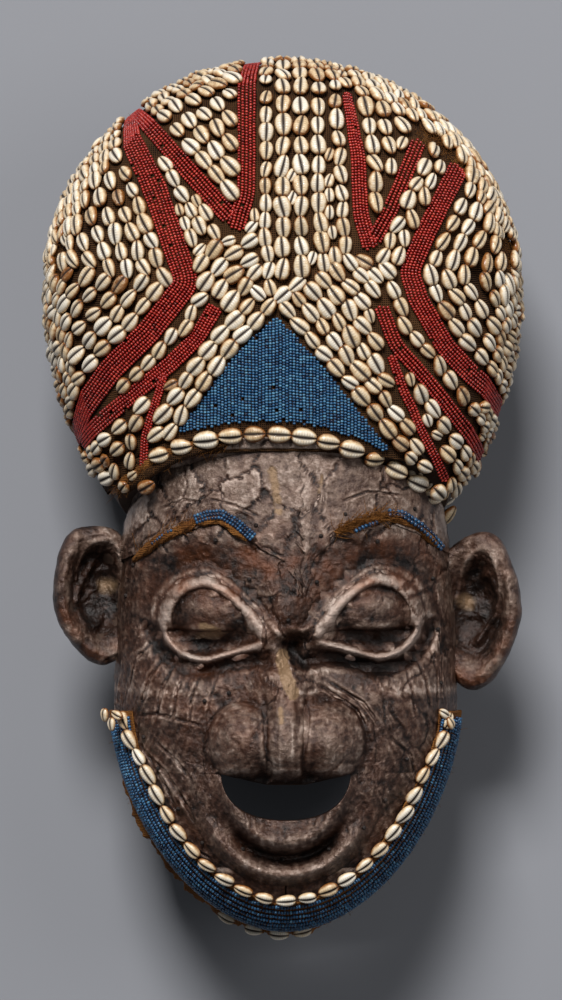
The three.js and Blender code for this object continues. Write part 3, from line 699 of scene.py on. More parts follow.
@dataclass(frozen=True)
class GlassBead:
    """Pressed opaque glass: a bright small highlight, and each bead a little off the next in colour."""

    name: str
    dark: str
    middle: str
    pale: str
    roughness: float = 0.28
    refraction: float = 1.52
    dirt_mm: float = 2.4

    def material(self) -> Material:
        """Builds the finish: the bead's own shade through three colours, with dirt in a fine noise, and painted
        shade at the ends where one bead meets the next.

        Returns:
            The material.
        """
        work = Surface(self.name)
        shade, end = (work.add("Attribute", {}, "Fac", attribute_name=name) for name in ("shade", "end"))
        colour = work.add("ValToRGB", [shade],
                          stops=((0.0, self.dark), (0.5, self.middle), (1.0, self.pale)))
        dirt_and_end_shade = work.add("TexNoise",
                        {"Vector": work.add("TexCoord", {}, "Object"), "Scale": 1000 / self.dirt_mm,
                                     "Detail": 3.0, "Roughness": 0.55})
        dirt_and_end_shade = work.add("Math", [dirt_and_end_shade, 1.3, -0.45], **WEIGHTED_CLAMPED)
        # Painted shade at the bead's ends, added to the noise dirt.
        dirt_and_end_shade = work.add("Math", [end, 1.5, dirt_and_end_shade], **WEIGHTED_CLAMPED)
        share = work.add("Math", [dirt_and_end_shade, 0.62], operation="MULTIPLY")
        soiled_and_shaded = work.add("Mix", {"Factor": share, "A": colour, "B": linear(DIRT_AND_SHADE)}, "Result",
                          data_type="RGBA")
        return work.finished({"Base Color": soiled_and_shaded, "Roughness": self.roughness, "IOR": self.refraction})


@dataclass(frozen=True)
class CowrieShell:
    """Old money cowrie: glossy ivory lips, tan at the edges, with a dark brown toothed slit."""

    name: str = "cowrie_porcelain"
    ivory: str = "#f4e9d6"
    cream: str = "#dfc39a"
    tan: str = "#8a5629"
    slit: str = "#22110a"
    roughness: float = 0.34
    mottle_mm: float = 3.2

    def material(self) -> Material:
        """Builds the finish: each shell's own shade, tan low down, the slit, and teeth along the lips.

        Returns:
            The material.
        """
        work = Surface(self.name)
        shade, low, slit, length, side = (work.add("Attribute", {}, "Fac", attribute_name=name)
                                          for name in ("shade", "low", "slit", "length", "side"))
        mottled = work.add("TexNoise",
                           {"Vector": work.add("TexCoord", {}, "Object"), "Scale": 1000 / self.mottle_mm,
                                        "Detail": 4.0, "Roughness": 0.55})
        share = work.add("Math", [mottled, 0.9, work.add("Math", [shade, -0.45], operation="ADD")],
                         **WEIGHTED)
        share = work.add("Math", [low, 0.95, share], **WEIGHTED_CLAMPED)
        body = work.add("ValToRGB", [share], stops=((0.15, self.ivory), (0.55, self.cream), (1.0, self.tan)))
        teeth = work.add("Math", [work.add("Math", [length, 30.0], operation="MULTIPLY")], operation="SINE")
        teeth = work.add("Math", [teeth, 0.5, 0.5], **WEIGHTED)
        near = work.add("MapRange", {"Value": side, "From Min": 0.85, "From Max": 0.25})
        for factor in (near, 0.42):
            teeth = work.add("Math", [teeth, factor], operation="MULTIPLY")
        dark = work.add("Math", [work.add("Math", [slit, 1.9, -0.75], **WEIGHTED_CLAMPED), teeth],
                        operation="MAXIMUM")
        mixed = work.add("Mix", {"Factor": dark, "A": body, "B": linear(self.slit)}, "Result",
                         data_type="RGBA")
        return work.finished({
            "Base Color": mixed, "Coat Weight": 0.05,
            "Roughness": work.add("Math", [dark, 0.55, self.roughness], **WEIGHTED)})


@dataclass(frozen=True)
class RaffiaCloth:
    """Plain-woven raffia, brown with age and dust: matt, with the threads standing out and fuzz between
    them."""

    name: str = "raffia_weave"
    dark: str = "#1a100a"
    pale: str = "#6a482a"
    thread_mm: float = 1.5
    roughness: float = 0.95
    patch_mm: float = 22.0

    def material(self) -> Material:
        """Builds the finish: crossed wave bands for the weave, drawn at thread width, and patches of dust.

        Returns:
            The material.
        """
        work = Surface(self.name)
        places = work.add("TexCoord", {}, "Object")
        normal = work.add("NewGeometry", {}, "Normal")
        bands = {"Vector": places, "Scale": 314 / self.thread_mm, "Distortion": 5.0, "Detail": 2.0,
                 "Detail Scale": 0.6}
        weave: Socket | float = 0.0
        for way in ("X", "Y", "Z"):
            wave = work.add("TexWave", bands, "Fac", wave_type="BANDS", bands_direction=way)
            turned = work.add("Math", [work.add("SeparateXYZ", [normal], way)], operation="ABSOLUTE")
            share = work.add("Math", [turned, -2.4, 1.9], **WEIGHTED_CLAMPED)
            weave = work.add("Math", [weave, work.add("Math", [wave, share], operation="MULTIPLY")],
                             operation="MAXIMUM")
        patches = work.add("TexNoise", {"Vector": places, "Scale": 1000 / self.patch_mm, "Detail": 5.0,
                                        "Roughness": 0.65})
        share = work.add("Math", [weave, 0.45, work.add("Math", [patches, 1.0, -0.4], **WEIGHTED)],
                         **WEIGHTED)
        return work.finished({
            "Base Color": work.add("ValToRGB", [share], stops=((0.1, self.dark), (0.9, self.pale))),
            "Roughness": self.roughness,
            "Specular IOR Level": 0.15,
            "Normal": work.add("Bump", {"Height": weave, "Distance": 0.0012, "Strength": 0.9})})


# Forms


@dataclass(frozen=True)
class HeadForm:
    """The carved head: a rounded block that narrows to the jaw, with the face raised on its front."""

    middle_x: float = 2.0
    half_width: float = 128.5
    jaw_y: float = -146.5
    jaw_drop: float = 174.0
    nostril_x: float = 31.0
    nose_tip_y: float = -184.0
    mouth_y: float = -206.0
    muzzle_half: tuple = (66.0, 76.0)
    side_z: float = 105.0
    chin_z: float = 150.0
    front_z: float = 214.0
    back_z: float = -5.0
    jaw_round: float = 1.85
    face_round: float = 2.3
    eyes: tuple = ((-59.0, -92.0), (67.0, -90.0))
    eye_half: tuple = (36.0, 33.0)

    def section(self, y: Array) -> tuple[Array, Array, Array, Array]:
        """The head's section at heights up the face.

        Above the jaw the sides lean in by 0.0006 d^2 and the forehead falls back by 0.0009 d^2. Below it all
        four close on the chin with the share of the drop.

        Args:
            y: heights.

        Returns:
            Half width, middle, front and back.
        """
        y = np.asarray(y, float)
        drop = np.clip((self.jaw_y - y) / self.jaw_drop, 0, 1)
        above = y >= self.jaw_y
        half = np.where(above, self.half_width - 0.0006 * (y - self.jaw_y) ** 2,
                        self.half_width * round_off(drop, self.jaw_round))
        front = np.where(above, self.front_z - 0.0009 * np.maximum(0, y + 60) ** 2,
                         self.chin_z + (self.front_z - self.chin_z) * (1 - drop**3) ** 0.4545)
        middle = self.side_z + (self.chin_z - self.side_z) * drop**2
        back = np.where(above, self.back_z, self.chin_z + (self.back_z - self.chin_z) * round_off(drop, 2.5))
        return half, middle, front, back

    def eye_places(self, x: Array, y: Array) -> Iterator[tuple]:
        """For each eye its side, and places from its middle in millimetres and then in its half sizes."""
        for eye_x, eye_y in self.eyes:
            away_x, away_y = x - eye_x, y - eye_y
            yield np.sign(eye_x), away_x, away_y, away_x / self.eye_half[0], away_y / self.eye_half[1]

    def eye_relief(self, x: Array, y: Array) -> Array:
        """The eyes, all drawn out to the inner corner.

        Each is a wide socket, a broad upper lid and a ball that falls away under the line of the lids, with
        a dark crescent and a thin lower rim below it.

        Args:
            x: places across, from the middle line.
            y: places up.

        Returns:
            The height they add.
        """
        height = np.zeros(np.shape(x))
        for side, _, _, across, up in self.eye_places(x, y):
            inner = np.clip(-side * across, 0, 1.5)
            drawn = up + 0.28 * inner**2
            reach = np.hypot(across * (1 - 0.2 * inner), drawn * (1 + 0.3 * inner))
            line = -0.22 - 0.16 * inner**2 + 0.05 * across**2
            above = ramp(-0.12, 0.22, up - line)
            below = 1 - above
            height -= 10 * np.exp(-((reach / 1.25) ** 4))
            height += above * (8 * np.exp(-(((reach - 0.96) / 0.25) ** 4)) - 2.6 * ramp(0.71, 0.67, reach)
                               - 1.6 * bump(reach - 0.69, 0.03))
            lid = ramp(-0.13, 0.02, up - line) * (0.66 + 0.34 * ramp(-0.1, 0.6, up - line))
            height += 20 * np.maximum(0, 1 - (reach / 1.02) ** 2) ** 0.72 * (0.12 + 0.88 * lid)
            height += below * (9 * bump(reach - 0.9, 0.09) - 9 * bump(reach - 0.56, 0.19)
                               - (10 + 3 * side) * bump(reach - 1.2, 0.14))
        return height

    def nose_relief(self, x: Array, y: Array) -> Array:
        """The nose: a ridge that widens into a round tip and two flaring nostrils, with grooves between
        them.

        Args:
            x: places across, from the middle line.
            y: places up.

        Returns:
            The height it adds.
        """
        down = np.clip((-48 - y) / 136, 0, 1)
        foot = ramp(-217, -202, y)
        ridge = ((6 + 21 * down) * np.exp(-np.abs(x / (13 + 10 * down)) ** 2.2) * ramp(-34, -78, y)
                 * ramp(-216, -190, y))
        parts = [ridge, 26 * dome(x, y - self.nose_tip_y, 22, 33)]
        parts += [30 * dome(x - nostril_x, y - self.nose_tip_y - 2, 28, 31) ** 1.5
                  for nostril_x in (-self.nostril_x, self.nostril_x)]
        joined = sum(part**3.0 for part in parts) ** (1 / 3.0)
        wander = 2.6 * GRAIN.layers(x / 30, y / 13, 0.5, 3)
        grooves = (bump(np.abs(x + wander) - 12 - 0.06 * (y + 212), 1.8) * ramp(-135, -160, y)
                   * ramp(-214, -204, y))
        return (joined - 3.4 * grooves) * foot

    def mouth_relief(self, x: Array, y: Array) -> Array:
        """The muzzle: a thick lower lip, a hollow under it and the chin's outer ridge, all rings about the
        mouth.

        Args:
            x: places across, from the middle line.
            y: places up.

        Returns:
            The height it adds.
        """
        across, down = x / self.muzzle_half[0], (self.mouth_y - y) / self.muzzle_half[1]
        reach = np.hypot(across, down)
        below = ramp(-0.14, 0.24, down)
        middle = ramp(0.75, 0.35, np.abs(across))
        lip = 11 * bump(reach - 0.66, 0.11)
        hollow = -13 * bump(reach - 0.83, 0.075) * middle * ramp(0.1, 0.5, down)
        rise = 8 * bump(reach - 0.99, 0.08) * ramp(0.3, 0.72, down) + 4 * np.exp(-((reach / 1.1) ** 6))
        return (lip + hollow + rise) * below

    def cheek_relief(self, x: Array, y: Array) -> Array:
        """Full cheeks, and a low swelling under each brow."""
        cheeks = 6 * bump(np.abs(x) - 82, 34) * bump(y + 165, 44)
        return cheeks + 4 * bump(np.abs(x) - 62, 40) * bump(y + 28 + 0.004 * (np.abs(x) - 50) ** 2, 12)

    def face_height(self, x: Array, y: Array) -> Array:
        """The height of the face at points, x from the middle line: the section's front and the carving on
        it.

        Args:
            x: places across, from the middle line.
            y: places up.

        Returns:
            The height over the back.
        """
        half, middle, front, _ = self.section(y)
        share = np.clip(x / np.maximum(half, 1e-6), -1, 1)
        carved = (self.eye_relief(x, y) + self.nose_relief(x, y) + self.mouth_relief(x, y)
                  + self.cheek_relief(x, y))
        fade = (ramp(1, 0.82, np.abs(share))
                * ramp(self.jaw_y - self.jaw_drop, self.jaw_y - 0.8 * self.jaw_drop, y))
        return middle + (front - middle) * round_off(share, self.face_round) + carved * fade

    def over(self, x: Array, y: Array) -> Array:
        """The face's height over places whose x is in the forms' frame."""
        return self.face_height(x - self.middle_x, y)

    def from_jaw(self, points: Array) -> Array:
        """How points lie from the middle of the jaw."""
        return points - np.array([self.middle_x, -150.0, 100.0])

    def front(self, turn: Array, y: Array) -> Array:
        """Points on the head by a turn about it, 0 at the middle of the face and 90 degrees at the sides.

        The x is the half width times the turn's sine. Past 90 degrees the points go on over the back's
        curve.

        Args:
            turn: turns, in radians.
            y: heights.

        Returns:
            The points.
        """
        half, middle, _, back = self.section(y)
        share = np.sin(turn)
        z = np.where(np.abs(turn) > np.pi / 2, middle + (back - middle) * round_off(share, self.face_round),
                     self.face_height(share * half, y))
        return np.stack([self.middle_x + share * half, np.broadcast_to(y, z.shape), z], -1)

    def jaw(self, share: Array, angle: Array, lift: Array) -> Array:
        """Points on the jaw by their share of the way out and a turn from the chin.

        Inside a share of 1 they lie on the face. Past it they go down the jaw's side, by the jaw's drop for
        each 1.

        Args:
            share: shares of the way out from the middle.
            angle: turns from the chin, in radians.
            lift: heights over the wood.

        Returns:
            The points.
        """
        flat = np.minimum(share, 1)
        sine, cosine = np.sin(angle), np.cos(angle)
        x = self.half_width * flat * np.sign(sine) * np.abs(sine) ** (2 / self.jaw_round)
        y = self.jaw_y - self.jaw_drop * flat * np.abs(cosine) ** (2 / self.jaw_round)
        inside_edge = self.face_height(x * 0.9995, np.where(flat > 0.999, y + 0.05, y))
        drop = np.clip((self.jaw_y - y) / self.jaw_drop, 0, 1)
        middle = self.side_z + (self.chin_z - self.side_z) * drop**2
        out = ramp(0.84, 1.02, share)
        z = np.where(share < 1, inside_edge + lift * (1 - out), middle - (share - 1) * self.jaw_drop)
        blend = 1 + out * lift / self.half_width
        tall = 1 + out * lift / self.jaw_drop
        return np.stack([self.middle_x + x * blend, self.jaw_y + (y - self.jaw_y) * tall, z], -1)


@dataclass(frozen=True)
class CrownForm:
    """The crown: a wide flattened dome, round in outline."""

    middle_y: float = 155.0
    half_width: float = 173.4
    up: float = 167.4
    down: float = 240.0
    middle_z: float = 108.5
    depth: float = 113.5
    hem_y: float = 39.0
    hem_z: float = 217.0
    hem_slope: float = 0.52
    rim: float = 0.9
    turn_over: float = 0.35
    round_across: float = 2.6

    def rise(self, y: Array) -> Array:
        """Heights as a share of the way from the middle to the top, or down to the chin's side."""
        return (y - self.middle_y) / np.where(y > self.middle_y, self.up, self.down)

    def section(self, share: Array, swell: float = 0.0) -> tuple[Array, Array]:
        """The dome's half width and depth.

        Args:
            share: shares of the way up or down from the middle.
            swell: how far outside the wood.

        Returns:
            The half widths and the depths.
        """
        half = (self.half_width + swell) * np.where(share > 0, round_off(share, 2.0), round_off(share, 1.9))
        depth = (self.depth + swell) * np.where(share > 0, round_off(share, 2.6), round_off(share, 2.1))
        return half, depth

    def height(self, x: Array, y: Array) -> Array:
        """The front's height over flat places."""
        half, depth = self.section(self.rise(y))
        return (self.middle_z
                + depth * round_off(np.clip(x / np.maximum(half, 1e-6), -1, 1), self.round_across))

    def reach(self, x: Array, y: Array) -> Array:
        """How far out places are: 1 on the outline."""
        return np.hypot(x / self.half_width, self.rise(y))

    def wrap(self, x: Array, y: Array) -> Array:
        """Points on the dome for flat places that bend over the rim.

        Past the rim's reach a place goes round it by a quarter turn for each 0.35.

        Args:
            x: places across, in the flat plane.
            y: places up.

        Returns:
            The points.
        """
        reach = self.reach(x, y)
        turn = np.clip((np.pi / 2) * (reach - self.rim) / self.turn_over, 0, np.pi)
        share = np.where(reach > self.rim, (self.rim + 0.0995 * np.sin(turn)) / np.maximum(reach, 1e-6), 1)
        flat_x, flat_y = x * share, self.middle_y + (y - self.middle_y) * share
        z = self.height(flat_x, flat_y)
        z = np.where(turn > np.pi / 2, 2 * self.middle_z - z, z)
        return np.stack([flat_x, flat_y, z], -1)

    def on(self, x: Array, y: Array, lift: Array = 0.0) -> Array:
        """Points a lift above the dome, along its normal from finite differences."""
        return self.wrap(x, y) + self.normal(x, y) * np.asarray(lift, float)[..., None]

    def normal(self, x: Array, y: Array) -> Array:
        """The dome's outward unit normal at flat places.

        Args:
            x: places across.
            y: places up.

        Returns:
            The normals.
        """
        step = 1.5
        along = self.wrap(x + step, y) - self.wrap(x - step, y)
        up = self.wrap(x, y + step) - self.wrap(x, y - step)
        return unit(np.cross(along, up))

    def above_hem(self, y: Array, z: Array) -> Array:
        """How far points are above the slanted hem, along Y."""
        return y - (self.hem_y + self.hem_slope * (z - self.hem_z))


HEAD = HeadForm()
CROWN = CrownForm()

# How far the blocks that cut the wood reach along Z

SPAN_Z = (-60.0, 400.0)


def row_y(x: Array) -> Array:
    """The middle of the bottom edge of the crown's shells: 47.5 - 0.0017 |x + 15|^2.1."""
    return 47.5 - 0.0017 * np.abs(x + 15) ** 2.1


# The crown's pattern, in the flat plane

LEFT_V = [[-26.4, 368], [-27, 222], [-35, 196]]
LEFT_V_ARM = [[-38, 204], [-70, 240], [-140, 322]]
LEFT_ZIGZAG = [[-141, 328], [-94, 227], [-70, 157], [-99.4, 119.3], [-125.8, 93.8], [-153, 57], [-185, 14]]
LEFT_LOOP = [[-49, 140], [-63, 116], [-82, 97.5], [-104, 80], [-133, 56], [-163, 29]]
LEFT_BRANCH = [[-86, 92], [-100.9, 44], [-101.7, 18]]
RIGHT_V = [[46.5, 297], [55, 249], [56.5, 208], [64, 182]]
RIGHT_V_ARM = [[66, 188], [77.6, 208], [99.5, 262]]
RIGHT_ZIGZAG = [[129, 244], [104.7, 195], [92, 165], [98.6, 145], [118, 111], [138, 90], [190, 46]]
RIGHT_LOOP = [[71.5, 140], [82, 112], [112, 78], [132, 52], [170, 8]]
RIGHT_BRANCH = [[79, 104], [88, 78], [94, 66], [100, 51], [112, 27.5], [119, 12]]
BARE_PATCHES = [
    [[96, 276], [118, 270], [134, 253], [141, 234], [127, 243], [109, 254], [96, 260]],
    [[-186, 195.4], [-166.4, 192.4], [-163.4, 175.8], [-169.4, 159.3], [-186, 159.3]],
    [[158.9, 195.4], [186, 198.4], [186, 157.8], [163.4, 159.3]],
]


@dataclass(frozen=True)
class Band:
    """A band of bead strands on the crown."""

    name: str
    node: str
    line: list
    widths: float | list
    strands: int

    def width_at(self, share: Array) -> Array:
        """The band's width at a share of its length.

        Args:
            share: shares of its length.

        Returns:
            The widths.
        """
        if isinstance(self.widths, (int, float)):
            return np.full(np.shape(share), float(self.widths))
        corners = np.array(self.line, float)
        reach = running(np.hypot(*np.diff(corners, axis=0).T))
        return np.interp(share, reach / reach[-1], self.widths)


BANDS = [
    Band("left_v", "red_beads_left_v", LEFT_V, 14, 5),
    Band("left_v_arm", "red_beads_left_v", LEFT_V_ARM, [14, 14, 9], 5),
    Band("left_zigzag", "red_beads_left_zigzag", LEFT_ZIGZAG, [11, 18, 18, 18, 18, 17, 12], 7),
    Band("left_loop", "red_beads_left_loop", LEFT_LOOP, 12, 5),
    Band("left_branch", "red_beads_left_loop", LEFT_BRANCH, 6, 3),
    Band("right_v", "red_beads_right_v", RIGHT_V, [6, 11, 12, 12], 5),
    Band("right_v_arm", "red_beads_right_v", RIGHT_V_ARM, 12, 4),
    Band("right_zigzag", "red_beads_right_zigzag", RIGHT_ZIGZAG, 15, 6),
    Band("right_loop", "red_beads_right_loop", RIGHT_LOOP, 11, 4),
    Band("right_branch", "red_beads_right_loop", RIGHT_BRANCH, 7, 3),
]


def triangle_inside(x: Array, y: Array, margin: float = 0.0) -> Array:
    """Whether places are in the blue triangle, grown by a margin.

    Args:
        x: places across.
        y: places up.
        margin: how far it is grown.

    Returns:
        Which of them are.
    """
    low = row_y(x) + 7.3 - margin
    left = np.interp(y, [42, 50, 108, 133], [-76, -76, -33, -4.5]) - margin * 1.25
    right = np.interp(y, [32, 84, 106, 133], [81, 40, 21, -4.5]) + margin * 1.25
    return (y > low) & (y < 133 + margin) & (x > left) & (x < right)


# Pieces


def finish_piece(thing: Thing, slot: Slot, finish: Material, *nodes: str) -> Thing:
    """Gives a piece its finish and hides the solids it stands for.

    Args:
        thing: the piece.
        slot: its material slot; not used.
        finish: its finish.
        nodes: the solids it replaces.

    Returns:
        The same piece.
    """
    thing.data.materials.clear()
    thing.data.materials.append(finish)
    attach(thing, "root")
    if nodes:
        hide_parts(*nodes)
    LOG.info("%s: %d faces", thing.name, len(thing.data.polygons))
    return thing


def plates(x: Array, y: Array) -> tuple[Array, Array, Array]:
    """Torn overlapping plates: cells of random seeds with wandering borders.

    Args:
        x: places across.
        y: places up.

    Returns:
        Each place's step in height, its distance from the nearest border in millimetres, and its plate's
            shade.
    """
    random = np.random.default_rng(41)
    seeds = random.uniform([-125, -320], [125, 60], (64, 2))
    raised, shade = random.uniform(-0.45, 0.45, 64), random.uniform(-1, 1, 64)
    wide_x = x + 9 * GRAIN.layers(x / 16, y / 16, 4.4, 4) + 1.6 * GRAIN.layers(x / 2.4, y / 2.4, 9.1, 2)
    wide_y = y + 9 * GRAIN.layers(x / 16, y / 16, 8.8, 4) + 1.6 * GRAIN.layers(x / 2.4, y / 2.4, 3.1, 2)
    first, second = np.full(x.shape, 1e9), np.full(x.shape, 1e9)
    step, colour = np.zeros(x.shape), np.zeros(x.shape)
    for (seed_x, seed_y), height, tint in zip(seeds, raised, shade):
        distance = np.hypot(wide_x - seed_x, (wide_y - seed_y) * 0.75)
        nearer = distance < first
        second = np.where(nearer, first, np.minimum(second, distance))
        first = np.where(nearer, distance, first)
        step, colour = np.where(nearer, height, step), np.where(nearer, tint, colour)
    return step, (second - first) / 2, colour


def crumple(x: Array, y: Array) -> Array:
    """Beaten sheet in millimetres: slow dents, folds that run down and inwards on the cheeks, and a fine
    wrinkle.

    Args:
        x: places across.
        y: places up.

    Returns:
        The height it adds.
    """
    slow = 0.7 * GRAIN.layers(x / 17, y / 17, 0.5, 3)
    folds = 1.3 * GRAIN.creases(x / 12 + 3, y / 15, 1.7, 3) - 0.5
    folds = folds + 0.9 * (GRAIN.creases(x / 5.6, y / 6.4, 6.1, 2) - 0.35)
    across, along = np.abs(x) * 0.9 + y * 0.42, y * 0.9 - np.abs(x) * 0.42
    wander = 2.2 * GRAIN.layers(x / 12, y / 12, 6.6, 2)
    drawn = GRAIN.creases((across + wander) / 3.4, along / 30, 2.9 + np.sign(x), 2)
    cheek = ramp(34, 62, np.abs(x)) * ramp(-116, -140, y)
    fine = 0.42 * GRAIN.layers(x / 2.5, y / 2.8, 5.1, 2)
    return slow + folds + fine + (1.35 * drawn - 0.5) * cheek


def line_crease(x: Array, y: Array, line: list, width: float, depth: float) -> Array:
    """A crease along a line: a narrow furrow with a lip on both sides that fades at the ends.

    Args:
        x: places across.
        y: places up.
        line: its corners.
        width: the furrow's half width.
        depth: the furrow's depth.

    Returns:
        The height it adds.
    """
    distance, along = line_distance(x, y, line)
    ends = ramp(0, 0.15, along) * ramp(1, 0.85, along)
    return ends * depth * (0.45 * bump(distance - 2.2 * width, width * 1.1) - bump(distance, width))


@dataclass
class CopperSheets:
    """The beaten copper over the face: a forehead plate in two torn leaves, two cheeks, the nose and the
    chin."""

    head: HeadForm
    finish: Material
    spacing: float = 1.3
    forehead_edge: list = field(default_factory=lambda: [
        [-150, -62], [-120, -49], [-93, -37], [-78, -27], [-64, -24], [-52, -17], [-46, -21], [-36, -30],
        [-24, -33], [-14, -41], [0, -47], [9, -62], [14, -76], [19, -62], [22, -46], [30, -41], [38, -34],
        [52, -27], [66, -25],
        [80, -21], [101, -29], [118, -41], [150, -55]])
    nose_edge: list = field(default_factory=lambda: [
        [-213, -60, 66], [-206, -61, 66], [-190, -61, 67], [-172, -58, 65], [-160, -47, 56], [-152, -38, 48],
        [-145, -25, 30], [-120, -19, 24], [-100, -17, 21], [-70, -15, 19], [-50, -14, 18], [-40, -12, 17]])
    creases: list = field(default_factory=lambda: [
        ([[-88, -117], [-101, -135], [-108, -158]], 1.0, 2.4),
        ([[-80, -121], [-92, -143], [-96, -168]], 1.0, 2.4),
        ([[-70, -123], [-81, -146], [-84, -172]], 0.9, 2.0),
        ([[-98, -108], [-113, -124], [-121, -146]], 0.9, 2.0),
        ([[-60, -126], [-70, -150], [-71, -176]], 0.8, 1.7),
        ([[-48, -128], [-56, -150], [-58, -168]], 0.8, 1.5),
        ([[-112, -164], [-96, -162], [-74, -167], [-60, -171]], 0.9, 2.6),
        ([[-106, -190], [-90, -205], [-76, -226], [-66, -246]], 1.1, 2.6),
        ([[-113, -178], [-101, -196], [-88, -217], [-79, -240]], 0.9, 2.0),
        ([[-97, -182], [-84, -194], [-68, -212]], 0.9, 2.0),
        ([[-84, -252], [-70, -262], [-54, -270]], 0.9, 1.8),
        ([[24, -139], [38, -149], [52, -158], [60, -172]], 1.0, 2.8),
        ([[27, -134], [42, -144], [57, -153], [68, -168]], 1.0, 2.4),
        ([[96, -120], [104, -138], [108, -160]], 0.9, 1.8),
        ([[106, -112], [113, -132], [114, -156]], 0.8, 1.6),
        ([[88, -126], [94, -146], [96, -166]], 0.8, 1.6), ([[118, -94], [121, -120], [119, -150]], 0.8, 1.6),
        ([[76, -178], [92, -192], [98, -214]], 0.9, 1.8), ([[64, -130], [72, -150], [74, -172]], 0.7, 1.3),
        ([[-30, -60], [-34, -82], [-31, -100]], 0.8, 1.4), ([[31, -62], [36, -80], [35, -98]], 0.8, 1.4),
        ([[-58, -2], [-38, -7], [-19, -16]], 0.8, 1.5), ([[-94, -10], [-74, -3], [-58, -6]], 0.8, 1.5),
        ([[40, -5], [60, 3], [88, 0]], 0.8, 1.5), ([[24, 22], [29, 4], [26, -16]], 0.7, 1.5),
        ([[70, 26], [74, 8], [84, -8]], 0.7, 1.3), ([[-76, 24], [-72, 8], [-80, -12]], 0.7, 1.3)])

    def detail(self, x: Array, y: Array) -> Array:
        """What the sheet adds to the wood's height: crumple, calmer on the eyeballs and the nose, and
        creases.

        Args:
            x: places across.
            y: places up.

        Returns:
            The height it adds.
        """
        calm = np.ones(np.shape(x))
        for _, away_x, away_y, _, _ in self.head.eye_places(x, y):
            calm = calm - 0.7 * bump(np.hypot(away_x / 26, (away_y - 2) / 22), 0.9)
        calm = calm - 0.5 * bump(np.hypot(x / 46, (y + 184) / 26), 0.9)
        calm = np.clip(calm, 0.2, 1) * (1 - 0.66 * ramp(-45, -12, y))
        calm = calm * (1 - 0.4 * ramp(62, 92, x) * bump(y + 125, 60))
        total = crumple(x, y) * calm
        for line, width, depth in self.creases:
            total += line_crease(x, y, line, width, depth * 0.8)
        for outer, away_x, away_y, _, _ in self.head.eye_places(x, y):
            away_x, away_y = (away_x - outer * 22) * outer, away_y + 8
            angle = np.arctan2(away_y, away_x) + 0.25 * GRAIN.layers(x / 14, y / 14, 7.3, 2)
            spread = np.hypot(away_x, away_y)
            rays = GRAIN.creases(angle * 5.5, spread / 34, 4.2 + outer, 2) - 0.35
            rays = rays * ramp(10, 20, spread) * ramp(66, 34, spread) * ramp(0.5, -0.2, angle)
            total += (1.7 - 0.7 * outer) * rays * ramp(-3.0, -2.2, angle)
        step, border, _ = plates(x, y)
        high = 1 + 1.4 * ramp(-45, -12, y)
        total += (high * step * ramp(0, 0.7, border) - 0.95 * bump(border, 0.6)) * self.torn_share(x, y)
        strips = (GRAIN.creases(x / 2.9, y / 60, 8.2, 1) * bump(x, 17) * ramp(-128, -150, y)
                  * ramp(-212, -204, y))
        total += 1.1 * strips
        low = self.head.mouth_y
        muzzle = np.hypot(x / self.head.muzzle_half[0], (low - y) / self.head.muzzle_half[1])
        wrinkles = bump(muzzle - 0.62, 0.12) * ramp(low, low - 10, y)
        total += 1.3 * wrinkles * (GRAIN.creases(x / 4.2, y / 16, 2.2, 2) - 0.4)
        return total - 0.7 * self.bare(x, y)

    def torn_share(self, x: Array, y: Array) -> Array:
        """Where the sheet is cracked into plates: all over the forehead, the nose's ridge and the right
        cheek."""
        share = 0.35 + ramp(-62, -28, y) + bump(x, 22) * bump(y + 105, 60) + 0.6 * ramp(62, 92, x)
        return np.clip(share, 0, 1.25)

    def bare(self, x: Array, y: Array) -> Array:
        """Where the sheet is lost and tan wood shows: a strip on the forehead, two down the nose, and an
        eyelid.

        Args:
            x: places across.
            y: places up.

        Returns:
            How bare each place is, from 0 to 1.
        """
        total = np.zeros(np.shape(x))
        edge = 1.6 * GRAIN.layers(x / 3.5, y / 3.5, 1.9, 3)
        for line, width in (([[-10, 19], [-8, 6], [-5, -12]], 2.6),
                            ([[-3, -118], [-1, -130], [5, -145]], 4.6),
                            ([[-4, -157], [-3, -166]], 1.6), ([[-62, -97], [-57, -98], [-50, -100]], 2.6),
                            ([[27, 14], [24, 2]], 0.9)):
            distance, _ = line_distance(x, y, line)
            total = np.maximum(total, ramp(width + 0.6, width - 0.4, distance + edge))
        return total

    def tone(self, x: Array, y: Array, height: Array) -> Array:
        """How rubbed the sheet is, from 0 in hollows to 1 on ridges, by its height over its neighbourhood, with
        painted shade about the eyes and a painted highlight on the upper lids.

        Args:
            x: places across.
            y: places up.
            height: the sheet's height at each.

        Returns:
            The tone at each place.
        """
        near, wide = (blurred(blurred(height, width), width) for width in (5, 15))
        share = 0.38 + 0.34 * np.clip(height - near, -1.3, 1.3) + 0.05 * np.clip(height - wide, -7, 7)
        for side, away_x, away_y, across, up in self.head.eye_places(x, y):
            # Painted shade: under each eye's lower rim (deeper on the right), in the hollow under the brow, in
            # the crescent under the ball and over the ball's lower half.
            under = bump((away_x - side * 4) / 40, 1) * bump(away_y + 42 - 0.006 * away_x**2, 9)
            hollow = bump(away_x / 44, 1) * bump(away_y - 45 + 0.004 * away_x**2, 11)
            slit = ramp(0.9, 0.7, np.hypot(across, up)) * ramp(-0.22, -0.34, up + 0.1 * across**2)
            ball = ramp(0.9, 0.6, np.hypot(across, up)) * ramp(0.3, -0.2, up)
            share = share - (0.6 + 0.2 * side) * under - 0.32 * hollow - 0.6 * slit - 0.36 * ball
            # Painted highlight: the upper half of the lid's band made paler.
            share = share + 0.16 * bump(np.hypot(across, up) - 1.02, 0.2) * ramp(-0.2, 0.2, up)
        _, border, shade = plates(x, y)
        share = share + (0.15 * shade - 0.34 * bump(border, 0.8)) * self.torn_share(x, y)
        share = share + 0.13 * ramp(40, 110, x) * bump(y + 120, 70) + 0.2 * ramp(-50, -20, y)
        return np.clip(share, 0, 1)

